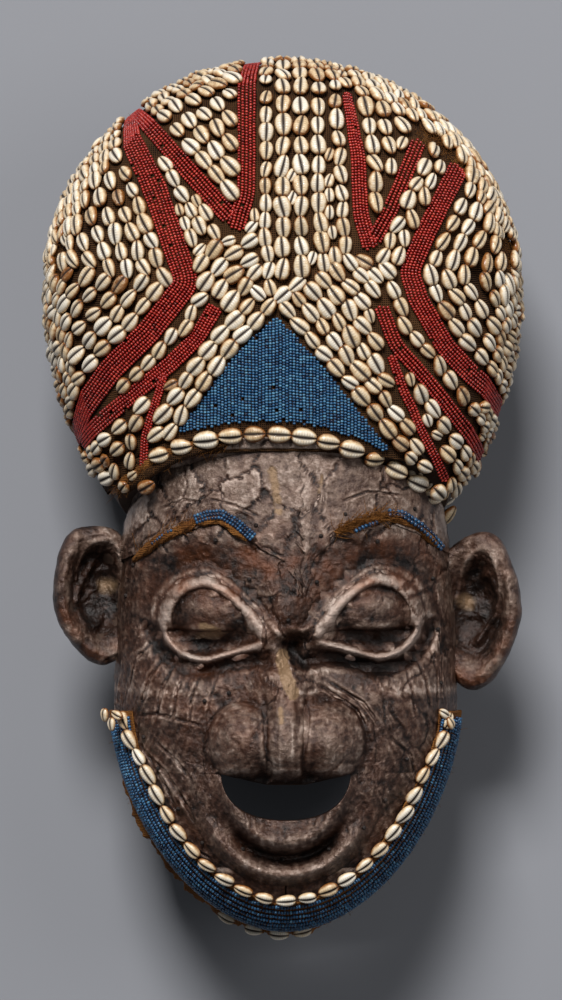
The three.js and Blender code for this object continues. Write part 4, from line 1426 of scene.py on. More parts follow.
    def warmth(self, x: Array, y: Array) -> Array:
        """Where red copper shows: between the brows and the eyes, beside the nose and in odd patches."""
        warm = 0.26 + 1.05 * bump(y + 52, 22) * bump(np.abs(x) - 50, 55) - 0.12 * ramp(-40, -10, y)
        return np.clip(warm + 0.35 * bump(np.hypot(x + 50, y + 130), 60), 0, 1)

    def leaf(self, name: str, turn: Array, y: Array, lift: Array, thickness: float, *nodes: str) -> Thing:
        """One leaf of sheet over a grid of turns and heights.

        Args:
            name: the piece's name.
            turn: the turn at each grid point.
            y: the height at each grid point.
            lift: the leaf's top over the wood.
            thickness: how thick it is.
            nodes: the solids it replaces.

        Returns:
            The piece.
        """
        flat = self.head.front(turn, y)
        x = flat[..., 0] - self.head.middle_x
        wood = flat[..., 2]
        steep = np.clip(np.cos(np.abs(turn)), 0.0, 1.0)
        past = np.abs(turn) - np.pi / 3
        rolled = self.head.half_width * (math.sin(math.pi / 3) + 0.85 * np.maximum(past, 0))
        x = np.where(past > 0, np.sign(turn) * rolled, x)
        detail = self.detail(x, y)
        rise = lift + detail
        top = flat.copy()
        top[..., 2] = wood + rise * steep**0.5
        side = np.sin(turn)
        top[..., 0] += side * (1 - steep) * rise
        under = top.copy()
        under[..., 2] -= thickness * (0.35 + 0.65 * steep)
        under[..., 0] -= side * (1 - steep) * thickness
        values = {"tone": self.tone(x, y, wood + rise), "warmth": self.warmth(x, y), "bare": self.bare(x, y)}
        return finish_piece(sheet_piece(name, top, under, values), Slot.COPPER, self.finish, *nodes)

    def torn(self, along: Array, size: float, seed: float) -> Array:
        """A ragged edge: a wander along it in millimetres."""
        fine = GRAIN.layers(along / 3.1, seed, 3.5, 2)
        return size * (GRAIN.layers(along / 13, seed, 0.5, 4) + 0.5 * fine)

    def build(self) -> None:
        """Builds the leaves from the lowest to the highest."""
        head = self.head
        rows = np.arange(-318.5, -12, self.spacing)
        half = head.section(rows)[0]
        edge = np.array(self.nose_edge)
        for side, column, name in ((-1, 1, "left_cheek_sheet"), (1, 2, "right_cheek_sheet")):
            inner = np.interp(rows, edge[:, 0], edge[:, column]) - side * 5
            below = rows < -206
            reach = np.sqrt(np.maximum(0, 1 - ((rows + 206) / 72) ** 2)) * 58
            chin = np.where(rows > -276, reach, 0)
            inner = np.where(below, side * np.maximum(chin, 0.5), inner)
            inner = side * np.minimum(side * inner, half * 0.93)
            outer = side * half
            first = np.arcsin(np.clip(inner / half, -1, 1))
            last = np.full(rows.shape, side * np.radians(112))
            last = np.where(side * np.arcsin(np.clip(outer / half, -1, 1)) < side * first, first, last)
            columns = int(np.max(half * np.abs(last - first)) / self.spacing * 0.8)
            share = np.linspace(0, 1, columns)
            turn = first[:, None] + (last - first)[:, None] * share
            y = np.broadcast_to(rows[:, None], turn.shape)
            self.leaf(name, turn, y, np.full(turn.shape, 0.8), 1.3)
        self.build_nose(edge)
        self.build_chin()
        self.build_forehead()

    def build_nose(self, edge: Array) -> None:
        """Builds the nose's sheet, whose foot folds in over the open mouth.

        Args:
            edge: heights, and the sheet's left and right edge at each.
        """
        share = np.linspace(0, 1, 190)[:, None]
        across = np.linspace(0, 1, 116)[None]
        high = -41.0
        middle = high - 171.0 * (1 - share)
        left = np.interp(middle, edge[:, 0], edge[:, 1]) + self.torn(middle, 1.2, 1.1)
        right = np.interp(middle, edge[:, 0], edge[:, 2]) + self.torn(middle, 1.2, 2.1)
        x = left + (right - left) * across
        low = -206.0 - 7.0 * ramp(50, 14, np.abs(x))
        y = low + (high - low) * share + 0 * x
        turn = np.arcsin(np.clip(x / self.head.section(y)[0], -1, 1))
        self.leaf("nose_sheet", turn, y, np.full(turn.shape, 1.7), 1.2)

    def build_chin(self) -> None:
        """Builds the chin's sheet: half rings about the mouth, from inside the mouth's wall out to the
        jaw."""
        angle = np.linspace(-np.pi * 0.5, np.pi * 0.5, 170)
        share = np.linspace(0, 1, 84)
        angle, share = np.meshgrid(angle, share, indexing="ij")
        sine, cosine = np.sin(angle), np.cos(angle)
        inner_x = 48 * np.sign(sine) * np.abs(sine) ** 0.85
        inner_y = 35 * np.abs(cosine)
        outer_x, outer_y = 74 * np.sign(sine) * np.abs(sine) ** 0.9, 84 * np.abs(cosine)
        part = np.clip((share - 0.12) / 0.88, 0, 1)
        x = inner_x + (outer_x - inner_x) * part
        y = -205.5 - (inner_y + (outer_y - inner_y) * part)
        ragged = 9 * share + 3 * GRAIN.layers(x / 8, 0 * x, 5.5, 3)
        y = y + ramp(0.3, 0.0, cosine) * ramp(0.14, 0.5, share) * ragged
        wood = self.head.face_height(x, y)
        detail = self.detail(x, y)
        into = np.clip((0.12 - share) / 0.12, 0, 1)
        z = wood + 1.6 + detail * (1 - into) - 13 * into**1.3
        top = np.stack([self.head.middle_x + x, y, z], -1)
        under = top.copy()
        under[..., 2] -= 1.2 * (1 - into)
        grow = 1 + 0.03 * into
        under[..., 0] = self.head.middle_x + x * grow
        under[..., 1] = -205.5 + (y + 205.5) * grow
        # Painted shade: the lip of the sheet that turns into the mouth is made darker.
        tone = self.tone(x, y, z + 13 * into**1.3) - 0.4 * into
        values = {"tone": tone, "warmth": self.warmth(x, y), "bare": np.zeros(x.shape)}
        finish_piece(sheet_piece("chin_sheet", top, under, values), Slot.COPPER, self.finish)

    def build_forehead(self) -> None:
        """Builds the forehead's plate in two leaves that overlap near the middle, each with a torn lower
        edge."""
        corners = np.array(self.forehead_edge, float)
        for name, first_x, last_x, lift, seed in (("forehead_sheet_right", -7, 127, 2.3, 4.4),
                                                  ("forehead_sheet_left", -125, 12, 3.1, 7.7)):
            columns = int((last_x - first_x) / (self.spacing * 0.95))
            share = np.linspace(0, 1, columns)
            half = 122.0
            turn_edge = np.arcsin(np.clip(np.array([first_x, last_x]) / half, -1, 1))
            turn = turn_edge[0] + (turn_edge[1] - turn_edge[0]) * share
            flat_x = np.sin(turn) * half
            low = np.interp(flat_x + 2, corners[:, 0], corners[:, 1]) + self.torn(flat_x, 2.4, seed)
            high = row_y(flat_x) - 4.5
            rows = 76
            up = np.linspace(0, 1, rows)[:, None]
            y = low[None] + (high - low)[None] * up
            wander = self.torn(y, 6.0, seed + 9)
            edge_share = share[None] if name.endswith("right") else 1 - share[None]
            shift = wander * np.clip(1 - edge_share * 5, 0, 1)
            turn = turn[None] + shift / half
            section = self.head.section(y)[0]
            turn = np.arcsin(np.clip(np.sin(turn) * half / section, -0.999, 0.999))
            nodes = ("forehead_sheet",) if name.endswith("left") else ()
            x = np.sin(turn) * section
            hem = CROWN.hem_z + (y - CROWN.hem_y) / CROWN.hem_slope + 2.4
            hem = np.minimum(hem, CROWN.height(x + 2, y) + 3.6)
            turned_up = np.where(y > 24, hem - self.head.face_height(x, y), 0)
            self.leaf(name, turn, y, np.maximum(lift, turned_up), 1.1, *nodes)


def blurred(values: Array, width: int) -> Array:
    """A grid's running mean over a square of an odd width.

    Args:
        values: the grid.
        width: the square's width in cells.

    Returns:
        The means.
    """
    half = width // 2
    for axis in (0, 1):
        padded = np.pad(values, [(half, half) if a == axis else (0, 0) for a in (0, 1)], mode="edge")
        sums = np.cumsum(np.concatenate([np.zeros_like(np.take(padded, [0], axis)), padded], axis), axis)
        count = values.shape[axis]
        values = (np.take(sums, np.arange(width, width + count), axis)
                  - np.take(sums, np.arange(count), axis)) / width
    return values


@dataclass
class Ear:
    """An ear: a thick dished leaf with a rolled rim, a curled inner ridge and a deep hollow, in copper over
    wood."""

    name: str
    x: float
    y: float
    half_width: float
    half_height: float
    lean: float
    side: int
    z: float = 118.0
    thickness: float = 26.0
    turned: float = 0.3

    def put(self, reach: Array, turn: Array, height: Array, swell: float) -> Array:
        """Places of the leaf by their share of the way out, a turn about it and a share of its thickness.

        Args:
            reach: shares of the way out.
            turn: turns about the ear, in radians.
            height: shares of its thickness.
            swell: how far outside the wood.

        Returns:
            The points.
        """
        x = reach * np.cos(turn) * (self.half_width + swell)
        y = reach * np.sin(turn) * (self.half_height + swell)
        z = height * (self.thickness + 2 * swell)
        way = -self.side * self.turned
        x, z = x * math.cos(way) + z * math.sin(way), z * math.cos(way) - x * math.sin(way)
        sine, cosine = math.sin(self.lean), math.cos(self.lean)
        x, y = x * cosine - y * sine, x * sine + y * cosine
        return np.stack([self.x + x, self.y + y, self.z + z], -1)

    def profile(self, count: int, last: int) -> tuple[Array, Array]:
        """The smoothed profile from the middle of the dish over the rim to a corner of the back.

        Args:
            count: how many stations.
            last: how many of its corners are used.

        Returns:
            The shares of the way out, and of the thickness.
        """
        corners = np.array([[0, -0.2], [0.3, -0.19], [0.5, -0.12], [0.62, 0.18], [0.7, 0.34], [0.86, 0.5],
                            [0.96, 0.4],
                            [1, 0.22], [1.0, 0.05], [0.97, -0.1], [0.7, -0.42], [0, -0.5]])[:last]
        reach = running(np.hypot(*np.diff(corners, axis=0).T))
        lines = points_at(np.linspace(0, reach[-1], count), reach, corners).T
        kernel = np.array([1, 2, 3, 2, 1]) / 9
        return tuple(np.convolve(np.pad(line, 2, mode="reflect", reflect_type="odd"), kernel, "valid")
                     for line in lines)

    def skin(self, finish: Material) -> None:
        """Builds the copper skin.

        Args:
            finish: the copper.
        """
        rows, columns = 64, 150
        reach, height = self.profile(rows, 10)
        reach, turn = np.meshgrid(reach, around(columns), indexing="ij")
        height = np.broadcast_to(height[:, None], reach.shape)
        inner = self.side * np.cos(turn)
        curl = 0.26 * bump(reach - 0.42 - 0.1 * np.sin(turn * 2), 0.08) * ramp(-0.5, 0.4, inner)
        deep = -0.17 * bump(reach - 0.2, 0.3)
        x, y = reach * np.cos(turn) * self.half_width, reach * np.sin(turn) * self.half_height
        folds = (0.095 * GRAIN.creases(x / 10 + self.x, y / 10, 0.4, 3)
                 + 0.075 * GRAIN.layers(x / 8, y / 8, self.y, 3))
        ridge = bump(reach - 0.62 + 0.16 * np.cos(2 * turn + 0.6), 0.06) * ramp(-0.7, 0.2, np.sin(turn))
        folds = folds + 0.12 * ridge
        ripple = 1 + 0.025 * np.sin(turn * 5 + self.x) * reach
        raised = height + curl + deep + folds
        ripple = ripple + 0.03 * GRAIN.layers(x / 14, y / 14, self.x, 3) * ramp(0.5, 0.9, reach)
        top = self.put(reach * ripple, turn, raised, 1.0)
        under = self.put(reach * ripple * 0.985, turn, raised - 0.045, 1.0)
        tone = -0.07 + 0.5 * ramp(-0.15, 0.55, raised) + 0.3 * GRAIN.layers(x / 8, y / 8, self.x, 3)
        # Painted shade: the dish inside the rim is made darker.
        tone = tone - 0.3 * ramp(0.62, 0.36, reach) + 1.9 * folds
        warmth = 0.24 + 0.7 * bump(reach - 0.9, 0.14) * ramp(0.3, -0.5, np.sin(turn))
        spots = (bump((x + self.side * self.half_width * 0.3) / 9, 1)
                 * bump((y - self.half_height * 0.1) / 8, 1))
        values = {"tone": np.clip(tone, 0, 1), "warmth": np.clip(warmth, 0, 1),
                  "bare": np.clip(1.6 * spots - 0.7 + 0.5 * GRAIN.layers(x / 5, y / 5, 0.2), 0, 1)}
        finish_piece(sheet_piece(self.name, top, under, values, 5, wrap=True), Slot.COPPER, finish)

    def wood(self) -> Thing:
        """The wood inside: the whole leaf, a little smaller.

        Returns:
            The solid.
        """
        rows, columns = 30, 48
        reach, height = self.profile(rows, 12)
        reach, turn = np.meshgrid(np.maximum(reach, 0), around(columns), indexing="ij")
        height = height[:, None] - 0.24 * ramp(0.7, 0.45, reach) * (height[:, None] > -0.3)
        points = self.put(reach * 0.97, turn, height - 0.05, -0.6)
        thing = build_mesh("ear_wood", points.reshape(-1, 3), [grid_faces(rows, columns, wrap=True)], {})
        close_up(thing, 4e-5)
        return thing


def tube_solid(name: str, rings: Array) -> Thing:
    """A closed solid from rings of points, rows by columns by three, its ends closed by one face each.

    Args:
        name: its name.
        rings: the rings.

    Returns:
        The solid.
    """
    rows, columns = rings.shape[:2]
    first = np.arange(columns)
    ends = np.stack([first[::-1], (rows - 1) * columns + first])
    thing = build_mesh(name, rings.reshape(-1, 3), [grid_faces(rows, columns, wrap=True), ends], {})
    close_up(thing)
    return thing


def combine(thing: Thing, tool: Thing, operation: str) -> None:
    """Joins, cuts or trims a solid with another, which is then deleted.

    Args:
        thing: the solid that is kept.
        tool: the other solid.
        operation: UNION, DIFFERENCE or INTERSECT.
    """
    modifier = thing.modifiers.new("combine", "BOOLEAN")
    modifier.operation, modifier.object, modifier.solver = operation, tool, "MANIFOLD"
    graph = bpy.context.evaluated_depsgraph_get()
    mesh = bpy.data.meshes.new_from_object(thing.evaluated_get(graph))
    if not mesh.polygons:
        raise RuntimeError(f"{operation} of {thing.name} with {tool.name} left nothing")
    thing.modifiers.clear()
    thing.data = mesh
    bpy.data.objects.remove(tool)


@dataclass
class WoodenCore:
    """The carved wood: head, crown and ears in one piece, hollow for the wearer's head and open at the
    mouth."""

    head: HeadForm
    crown: CrownForm
    ears: list[Ear]
    finish: Material
    sunk: float = 3.2
    side_wall: float = 16.0
    face_wall: float = 19.0
    hollow_back: float = 9.0

    def head_solid(self) -> Thing:
        """The head's outside, a little under the copper.

        Returns:
            The solid.
        """
        rows = np.concatenate([np.linspace(-320.3, -310, 6), np.arange(-307, 44, 3.0),
                               np.linspace(46, 100, 8)])
        turn = np.linspace(-np.pi, np.pi, 200, endpoint=False)
        turn, y = np.meshgrid(turn, rows, indexing="xy")
        points = self.head.front(turn, y)
        points[..., 2] -= self.sunk * np.clip(np.cos(turn), 0, 1) ** 0.5
        points[..., 0] -= 0.4 * np.sin(turn)
        return tube_solid("carved_wood_core", points)

    def crown_solid(self, swell: float, raised: float) -> Thing:
        """The crown's outside or its hollow.

        Args:
            swell: how much larger than the wood it is.
            raised: how far its hem is moved up.

        Returns:
            The solid, cut off at the hem.
        """
        rows, columns = 60, 90
        rise = np.linspace(-np.pi / 2, np.pi / 2, rows + 2)[1:-1]
        rise, turn = np.meshgrid(rise, around(columns), indexing="ij")
        share, across = np.sin(rise), np.cos(turn)
        reach = np.where(share > 0, self.crown.up, self.crown.down) + swell
        half, depth = self.crown.section(share, swell)
        z = self.crown.middle_z + np.sign(np.sin(turn)) * depth * round_off(across, self.crown.round_across)
        points = np.stack([half * across, self.crown.middle_y + reach * share, z], -1)
        solid = tube_solid("crown_core", points)
        low, high = (self.crown.hem_y + self.crown.hem_slope * (z - self.crown.hem_z) + raised
                     for z in SPAN_Z)
        self.trim(solid, [[low, SPAN_Z[0]], [500, SPAN_Z[0]], [500, SPAN_Z[1]], [high, SPAN_Z[1]]])
        return solid

    def trim(self, solid: Thing, outline: list) -> None:
        """Keeps of a solid what lies in an outline given in Y and Z."""
        block = np.stack([np.insert(np.array(outline, float), 0, x, axis=1) for x in (-400.0, 400.0)])
        combine(solid, tube_solid("cut", block), "INTERSECT")

    def hollow(self) -> Thing:
        """The hollow in the head: a rounded block inside walls of 16 mm at the sides and 19 mm at the face.

        Returns:
            The solid to cut away.
        """
        rows = np.array([-330, -290, -250, -210, -170, -130, -90, -50, -10, 30, 70.0])
        half, _, front, back = self.head.section(np.maximum(rows, -285.7))
        half = half - self.side_wall
        front = front - self.face_wall - np.maximum(0, 0.2 * (-220 - rows))
        back = np.full(rows.shape, self.hollow_back)
        across, up = np.cos(around(60)), np.sin(around(60))
        x = self.head.middle_x + half[:, None] * np.sign(across) * np.abs(across) ** 0.8
        z = (front + back)[:, None] / 2 + (front - back)[:, None] / 2 * np.sign(up) * np.abs(up) ** 0.8
        y = np.broadcast_to(rows[:, None], x.shape)
        return tube_solid("head_hollow", np.stack([x, y, z], -1))

    def mouth(self) -> Thing:
        """The opening of the mouth: half an oval, straight above.

        Returns:
            The solid to cut away.
        """
        turn = np.linspace(np.pi, 2 * np.pi, 40)
        x = self.head.middle_x + 48.5 * np.sign(np.cos(turn)) * np.abs(np.cos(turn)) ** 0.7
        y = self.head.mouth_y + 35.5 * np.sin(turn)
        x, y = np.append(x, [16.0, -12.0]), np.append(y, [-214.0, -214.0])
        block = np.stack([np.stack([x, y, np.full(x.shape, z)], 1) for z in (90.0, 400.0)])
        return tube_solid("mouth_cut", block)

    def build(self) -> None:
        """Builds the wood by joining and cutting."""
        core = self.head_solid()
        self.trim(core, [[-172 + 1.1 * 60, SPAN_Z[0]], [500, SPAN_Z[0]], [500, SPAN_Z[1]],
                         [-172 - 1.1 * 400, SPAN_Z[1]]])
        combine(core, self.crown_solid(0, 0), "UNION")
        for ear in self.ears:
            combine(core, ear.wood(), "UNION")
        combine(core, self.hollow(), "DIFFERENCE")
        combine(core, self.crown_solid(-20, 20), "DIFFERENCE")
        combine(core, self.mouth(), "DIFFERENCE")
        self.trim(core, [[-500, 0], [500, 0], [500, SPAN_Z[1]], [-500, SPAN_Z[1]]])
        core.data.polygons.foreach_set("use_smooth", np.ones(len(core.data.polygons), bool))
        core.data.set_sharp_from_angle(angle=math.radians(40))
        finish_piece(core, Slot.WOOD, self.finish, "carved_head")


@dataclass
class CrownCloth:
    """The raffia cloth over the crown, from its hem above the forehead round to the back."""

    crown: CrownForm
    finish: Material
    top: float = 2.9
    base: float = 0.3
    edge_z: float = CLOTH_EDGE

    def build(self) -> None:
        """Builds the cloth as one sheet of meridians from the front's middle to the hem or the back edge."""
        columns, rows = 260, 104
        way = around(columns)
        bend = np.linspace(0, np.pi, 700)
        last = bend[self.first_outside(bend, way)]
        share = np.linspace(0, 1, rows)[:, None]
        turn = share * last[None]
        way = np.broadcast_to(way[None], turn.shape)
        flat, normal = self.meridian(turn, way)
        fuzz = 0.35 * GRAIN.layers(flat[..., 0] / 5, flat[..., 1] / 5, flat[..., 2] / 5, 3)
        lumps = 0.5 * GRAIN.layers(flat[..., 0] / 28, flat[..., 1] / 28, flat[..., 2] / 28, 2)
        inner = np.minimum(1, 12 * np.sin(turn))
        top = flat + normal * (self.top - 0.4 + (fuzz + lumps) * inner * 0.6)[..., None]
        under = flat + normal * self.base
        piece = sheet_piece("crown_cloth_weave", top, under, {"tone": fuzz + 0.5}, 5, wrap=True)
        finish_piece(piece, Slot.CLOTH, self.finish, "crown_cloth")

    def meridian(self, turn: Array, way: Array) -> tuple[Array, Array]:
        """Points on the dome by how far they are bent away from the front and in which direction, and
        normals.

        Args:
            turn: how far each is bent away from the front, in radians.
            way: its direction, in radians from the top.

        Returns:
            The points and the normals.
        """
        def spot(turn: Array, way: Array) -> Array:
            """A point: reach sin(turn), mirrored to the back past a quarter turn.

            Args:
                turn: how far it is bent.
                way: its direction.

            Returns:
                The point.
            """
            reach = np.sin(turn) * 0.99995
            x = self.crown.half_width * reach * np.sin(way)
            up = np.cos(way)
            y = self.crown.middle_y + np.where(up > 0, self.crown.up, self.crown.down) * reach * up
            z = self.crown.height(x, y)
            return np.stack([x, y, np.where(turn > np.pi / 2, 2 * self.crown.middle_z - z, z)], -1)

        flat = spot(turn, way)
        safe = np.maximum(turn, 0.02)
        along = spot(safe + 0.01, way) - spot(safe - 0.01, way)
        beside = spot(safe, way + 0.01) - spot(safe, way - 0.01)
        normal = unit(np.cross(beside, along))
        outward = flat - np.array([0, self.crown.middle_y, self.crown.middle_z])
        normal *= np.where((normal * outward).sum(-1, keepdims=True) < 0, -1, 1)
        return flat, normal

    def first_outside(self, bend: Array, way: Array) -> Array:
        """For each direction, the first bend that lies under the hem or past the back edge.

        Args:
            bend: the bends that are tried.
            way: the directions.

        Returns:
            The number of the bend for each direction.
        """
        turn, ways = np.meshgrid(bend, way, indexing="ij")
        flat, _ = self.meridian(turn, ways)
        under_hem = self.crown.above_hem(flat[..., 1], flat[..., 2]) < -1.0
        behind = (turn > np.pi / 2) & (flat[..., 2] < self.edge_z)
        outside = (under_hem | behind) & (turn > 0.1)
        return np.where(outside.any(0), outside.argmax(0), len(bend) - 1)


@dataclass
class Cowries:
    """The crown's cowries: strings tied tip to tip along the bands, filling the fields between them."""

    crown: CrownForm
    finish: Material
    length: float = 15.2
    width: float = 11.8
    tight: float = 0.885
    row: float = 11.5
    beside_edge: float = 5.8
    beside_band: float = 5.9

    def __post_init__(self) -> None:
        """Starts the list of placed shells, and maps how far each millimetre of the plane is from what is
        sewn on."""
        self.random = np.random.default_rng(5)
        self.shells = np.zeros((0, 4))
        x, y = np.meshgrid(np.arange(-230.0, 231), np.arange(-10.0, 391), indexing="ij")
        room = np.full(x.shape, 99.0)
        for band in BANDS:
            distance, along = line_distance(x, y, band.line)
            room = np.minimum(room, distance - band.width_at(along) / 2)
        for margin in (6, 5, 4, 3):
            room = np.where(triangle_inside(x, y, margin) & (room > margin), margin - 1.0, room)
        low = np.where(x < -94, 9, np.where(x > 112, -3, row_y(x) + 12.5))
        closed = (y < low) | (self.crown.reach(x, y) > 1.2)
        for patch in BARE_PATCHES:
            closed |= inside(x, y, patch)
        self.room = np.where(closed, -1, room)

    def free(self, x: float, y: float, size: float, margin: float, tight: float) -> bool:
        """Whether a shell fits at a place: off the bands, the triangle and the bare cloth, clear of the
        others.

        Args:
            x: the place across.
            y: the place up.
            size: the shell's size, as a share of the usual one.
            margin: how far its middle has to be from what is sewn on.
            tight: how near two shells may be, as a share of their sizes.

        Returns:
            Whether it fits.
        """
        column, row = int(round(x)) + 230, int(round(y)) + 10
        if not (0 <= column < self.room.shape[0] and 0 <= row < self.room.shape[1]):
            return False
        if self.room[column, row] < margin:
            return False
        apart_x, apart_y = self.shells[:, 0] - x, self.shells[:, 1] - y
        cosine, sine = np.cos(self.shells[:, 2]), np.sin(self.shells[:, 2])
        along = (apart_x * cosine + apart_y * sine) / self.length
        across = (apart_y * cosine - apart_x * sine) / self.width
        return not (along**2 + across**2 < (tight * (self.shells[:, 3] + size) / 2) ** 2).any()

    def string(self, line: list, size: float = 1.0, margin: float = 4.9) -> None:
        """Lays a string of shells along a line, each as close behind the last as fits.

        Args:
            line: its corners.
            size: the shells' size, as a share of the usual one.
            margin: how far their middles have to be from what is sewn on.
        """
        places, ways = resample(line, 1.1)
        for place, way in zip(places, ways):
            scale = size * self.random.uniform(0.88, 1.1)
            x, y = place + self.random.normal(0, 0.3, 2)
            if self.free(x, y, scale, margin, self.tight):
                turn = math.atan2(way[1], way[0]) + self.random.normal(0, 0.15)
                self.shells = np.vstack([self.shells, [x, y, turn, scale]])

    def fill(self, size: float, margin: float, tight: float) -> None:
        """Puts smaller shells into the gaps, each turned as its nearest neighbour.

        Args:
            size: their size, as a share of the usual one.
            margin: how far their middles have to be from what is sewn on.
            tight: how near two shells may be.
        """
        for x in np.arange(-214, 215, 2.1):
            for y in np.arange(-4, 374, 2.1):
                if self.free(x, y, size, margin, tight):
                    near = np.hypot(self.shells[:, 0] - x, self.shells[:, 1] - y).argmin()
                    turn = self.shells[near, 2] + self.random.normal(0, 0.25)
                    self.shells = np.vstack([self.shells,
                                             [x, y, turn, size * self.random.uniform(0.95, 1.1)]])

    def lay_out(self) -> None:
        """Lays all strings, first those beside the bands and the triangle, then the fields' and last the
        gaps'."""
        columns = [
            ([[-12.8, 345], [-12.8, 187.9], [-9, 150]], 0.94), ([[-0.2, 345], [-0.2, 150]], 1.1),
            ([[13.0, 345], [13.0, 165]], 1.08), ([[25.6, 345], [26.0, 211.2], [29.5, 172]], 1.06),
            ([[37.4, 345], [38.4, 282.8], [42.7, 222.5], [46.2, 176]], 0.96)]
        for line, size in columns:
            self.string(line, size)
        left_edge = [[-83.6, 37.3], [-74.5, 49.3], [-52.7, 81.7], [-31.6, 108.8], [-4.5, 136.7],
                     [50.5, 178.8]]
        right_edge = [[-9.8, 142.7], [20.3, 107.3], [39.2, 85.5], [58.0, 64.4], [85.1, 30.5]]
        for number in range(6):
            for edge in (left_edge, right_edge):
                self.string(offset_line(edge, self.beside_edge + self.row * number), 1.0, 4.8)
        for line in ([[-107, 268], [-102.7, 262.8], [-90.6, 251.7], [-79.5, 234], [-66, 207],
                      [-43.7, 171.3]],
                     [[-52, 154.7], [-65.5, 138.2], [-88.1, 108.8], [-113, 84], [-139.3, 60.6], [-170, 26]],
                     [[115.2, 267.7], [103.2, 243.6], [91.1, 218], [79.8, 191.6], [70, 167.5]],
                     [[80.6, 151.7], [88.1, 133.7], [106.9, 111.8], [121.2, 86.2], [140.8, 62.1],
                      [176, 28]]):
            self.string(line, 0.95, 3.0)
        for number in range(11):
            away = self.beside_band + self.row * number
            for line, half_band, side, size in (
                    (LEFT_ZIGZAG, 8.5, -1, 1.0), (RIGHT_ZIGZAG, 7.5, 1, 1.0), (LEFT_V_ARM, 7, -1, 1.02),
                    ([[46.5, 340], *RIGHT_V], 5.5, 1, 1.0), ([[-185, 12], *LEFT_LOOP[::-1]], 6, -1, 1.0),
                    (RIGHT_LOOP, 5.5, -1, 1.0), (LEFT_BRANCH, 3.5, 1, 0.96), (LEFT_BRANCH, 3.5, -1, 0.96)):
                self.string(offset_line(line, side * (half_band + away)), size)
        self.fill(0.86, 4.1, 0.86)
        self.fill(0.7, 3.2, 0.84)

    def field_of(self) -> Array:
        """Which solid each shell belongs to, by the fields between the bands.

        Returns:
            The solid's name for each shell.
        """
        zones = [
            ("cowries_left_v", [*LEFT_V, *LEFT_V_ARM, [-160, 368]]),
            ("cowries_right_v", [[46.5, 368], *RIGHT_V, *RIGHT_V_ARM, [94.7, 276], [94.7, 368]]),
            ("cowries_left_field", [*LEFT_ZIGZAG, [-240, 20], [-240, 330]]),
            ("cowries_right_field", [[95.3, 360], [95.3, 276], *RIGHT_ZIGZAG, [240, 20], [240, 360]]),
            ("cowries_lower_left", [*LEFT_BRANCH, [-101.7, 10], [-240, 10], *LEFT_LOOP[3:][::-1]]),
            ("cowries_lower_right", [*RIGHT_BRANCH[1:], [190, 4], *RIGHT_LOOP[1:][::-1]]),
        ]
        owner = np.full(len(self.shells), "cowries_centre", dtype="U32")
        for name, outline in reversed(zones):
            owner[inside(self.shells[:, 0], self.shells[:, 1], outline)] = name
        return owner

    def build(self) -> None:
        """Builds one piece for each field."""
        self.lay_out()
        owner = self.field_of()
        LOG.info("crown cowries: %d", len(owner))
        for name in np.unique(owner):
            mine = owner == name
            self.piece(name + "_shells", *self.shells[mine].T, name)

    def piece(self, name: str, x: Array, y: Array, ways: Array, sizes: Array, node: str) -> None:
        """Builds a group of shells on the crown.

        Args:
            name: the piece's name.
            x: flat places across.
            y: flat places up.
            ways: each one's direction in the plane, in radians.
            sizes: each one's size.
            node: the solid they stand for.
        """
        normal = self.crown.normal(x, y)
        step = np.stack([np.cos(ways), np.sin(ways)], 1)
        along = (self.crown.wrap(x + step[:, 0], y + step[:, 1])
                 - self.crown.wrap(x - step[:, 0], y - step[:, 1]))
        shells(name, self.crown.on(x, y, 2.9 + 2.75 * sizes), along, normal,
               np.stack([sizes * self.length * 1.1, sizes * self.width * 1.08, sizes * 7.8], 1), self.finish,
               node)


def shells(name: str, centres: Array, along: Array, outward: Array, sizes: Array, finish: Material,
           *nodes: str) -> Thing:
    """Builds a piece of cowries, each tilted a little and with its own shade.

    Args:
        name: the piece's name.
        centres: the shells' places.
        along: the direction of their slits.
        outward: the direction away from the cloth.
        sizes: length, width and height of each.
        finish: the shell's finish.
        nodes: the solids it replaces.

    Returns:
        The piece.
    """
    template = cowrie_template()
    random = np.random.default_rng(len(centres))
    count = len(centres)
    outward = unit(outward + random.normal(0, 0.13, (count, 3)))
    along = unit(along - (along * outward).sum(1, keepdims=True) * outward)
    along = along * np.where(random.random(count) < 0.5, -1, 1)[:, None]
    sizes = sizes * random.uniform(0.94, 1.07, (count, 3))
    points, faces = copies(template, centres, along, outward, sizes)
    shade = np.clip(0.36 + random.normal(0, 0.14, count) + 0.3 * (random.random(count) < 0.05), 0, 1)
    values = {key: np.tile(value, count) for key, value in template.values.items()}
    values["shade"] = np.repeat(shade, len(template.points))
    return finish_piece(build_mesh(name, points, faces, values), Slot.SHELL, finish, *nodes)


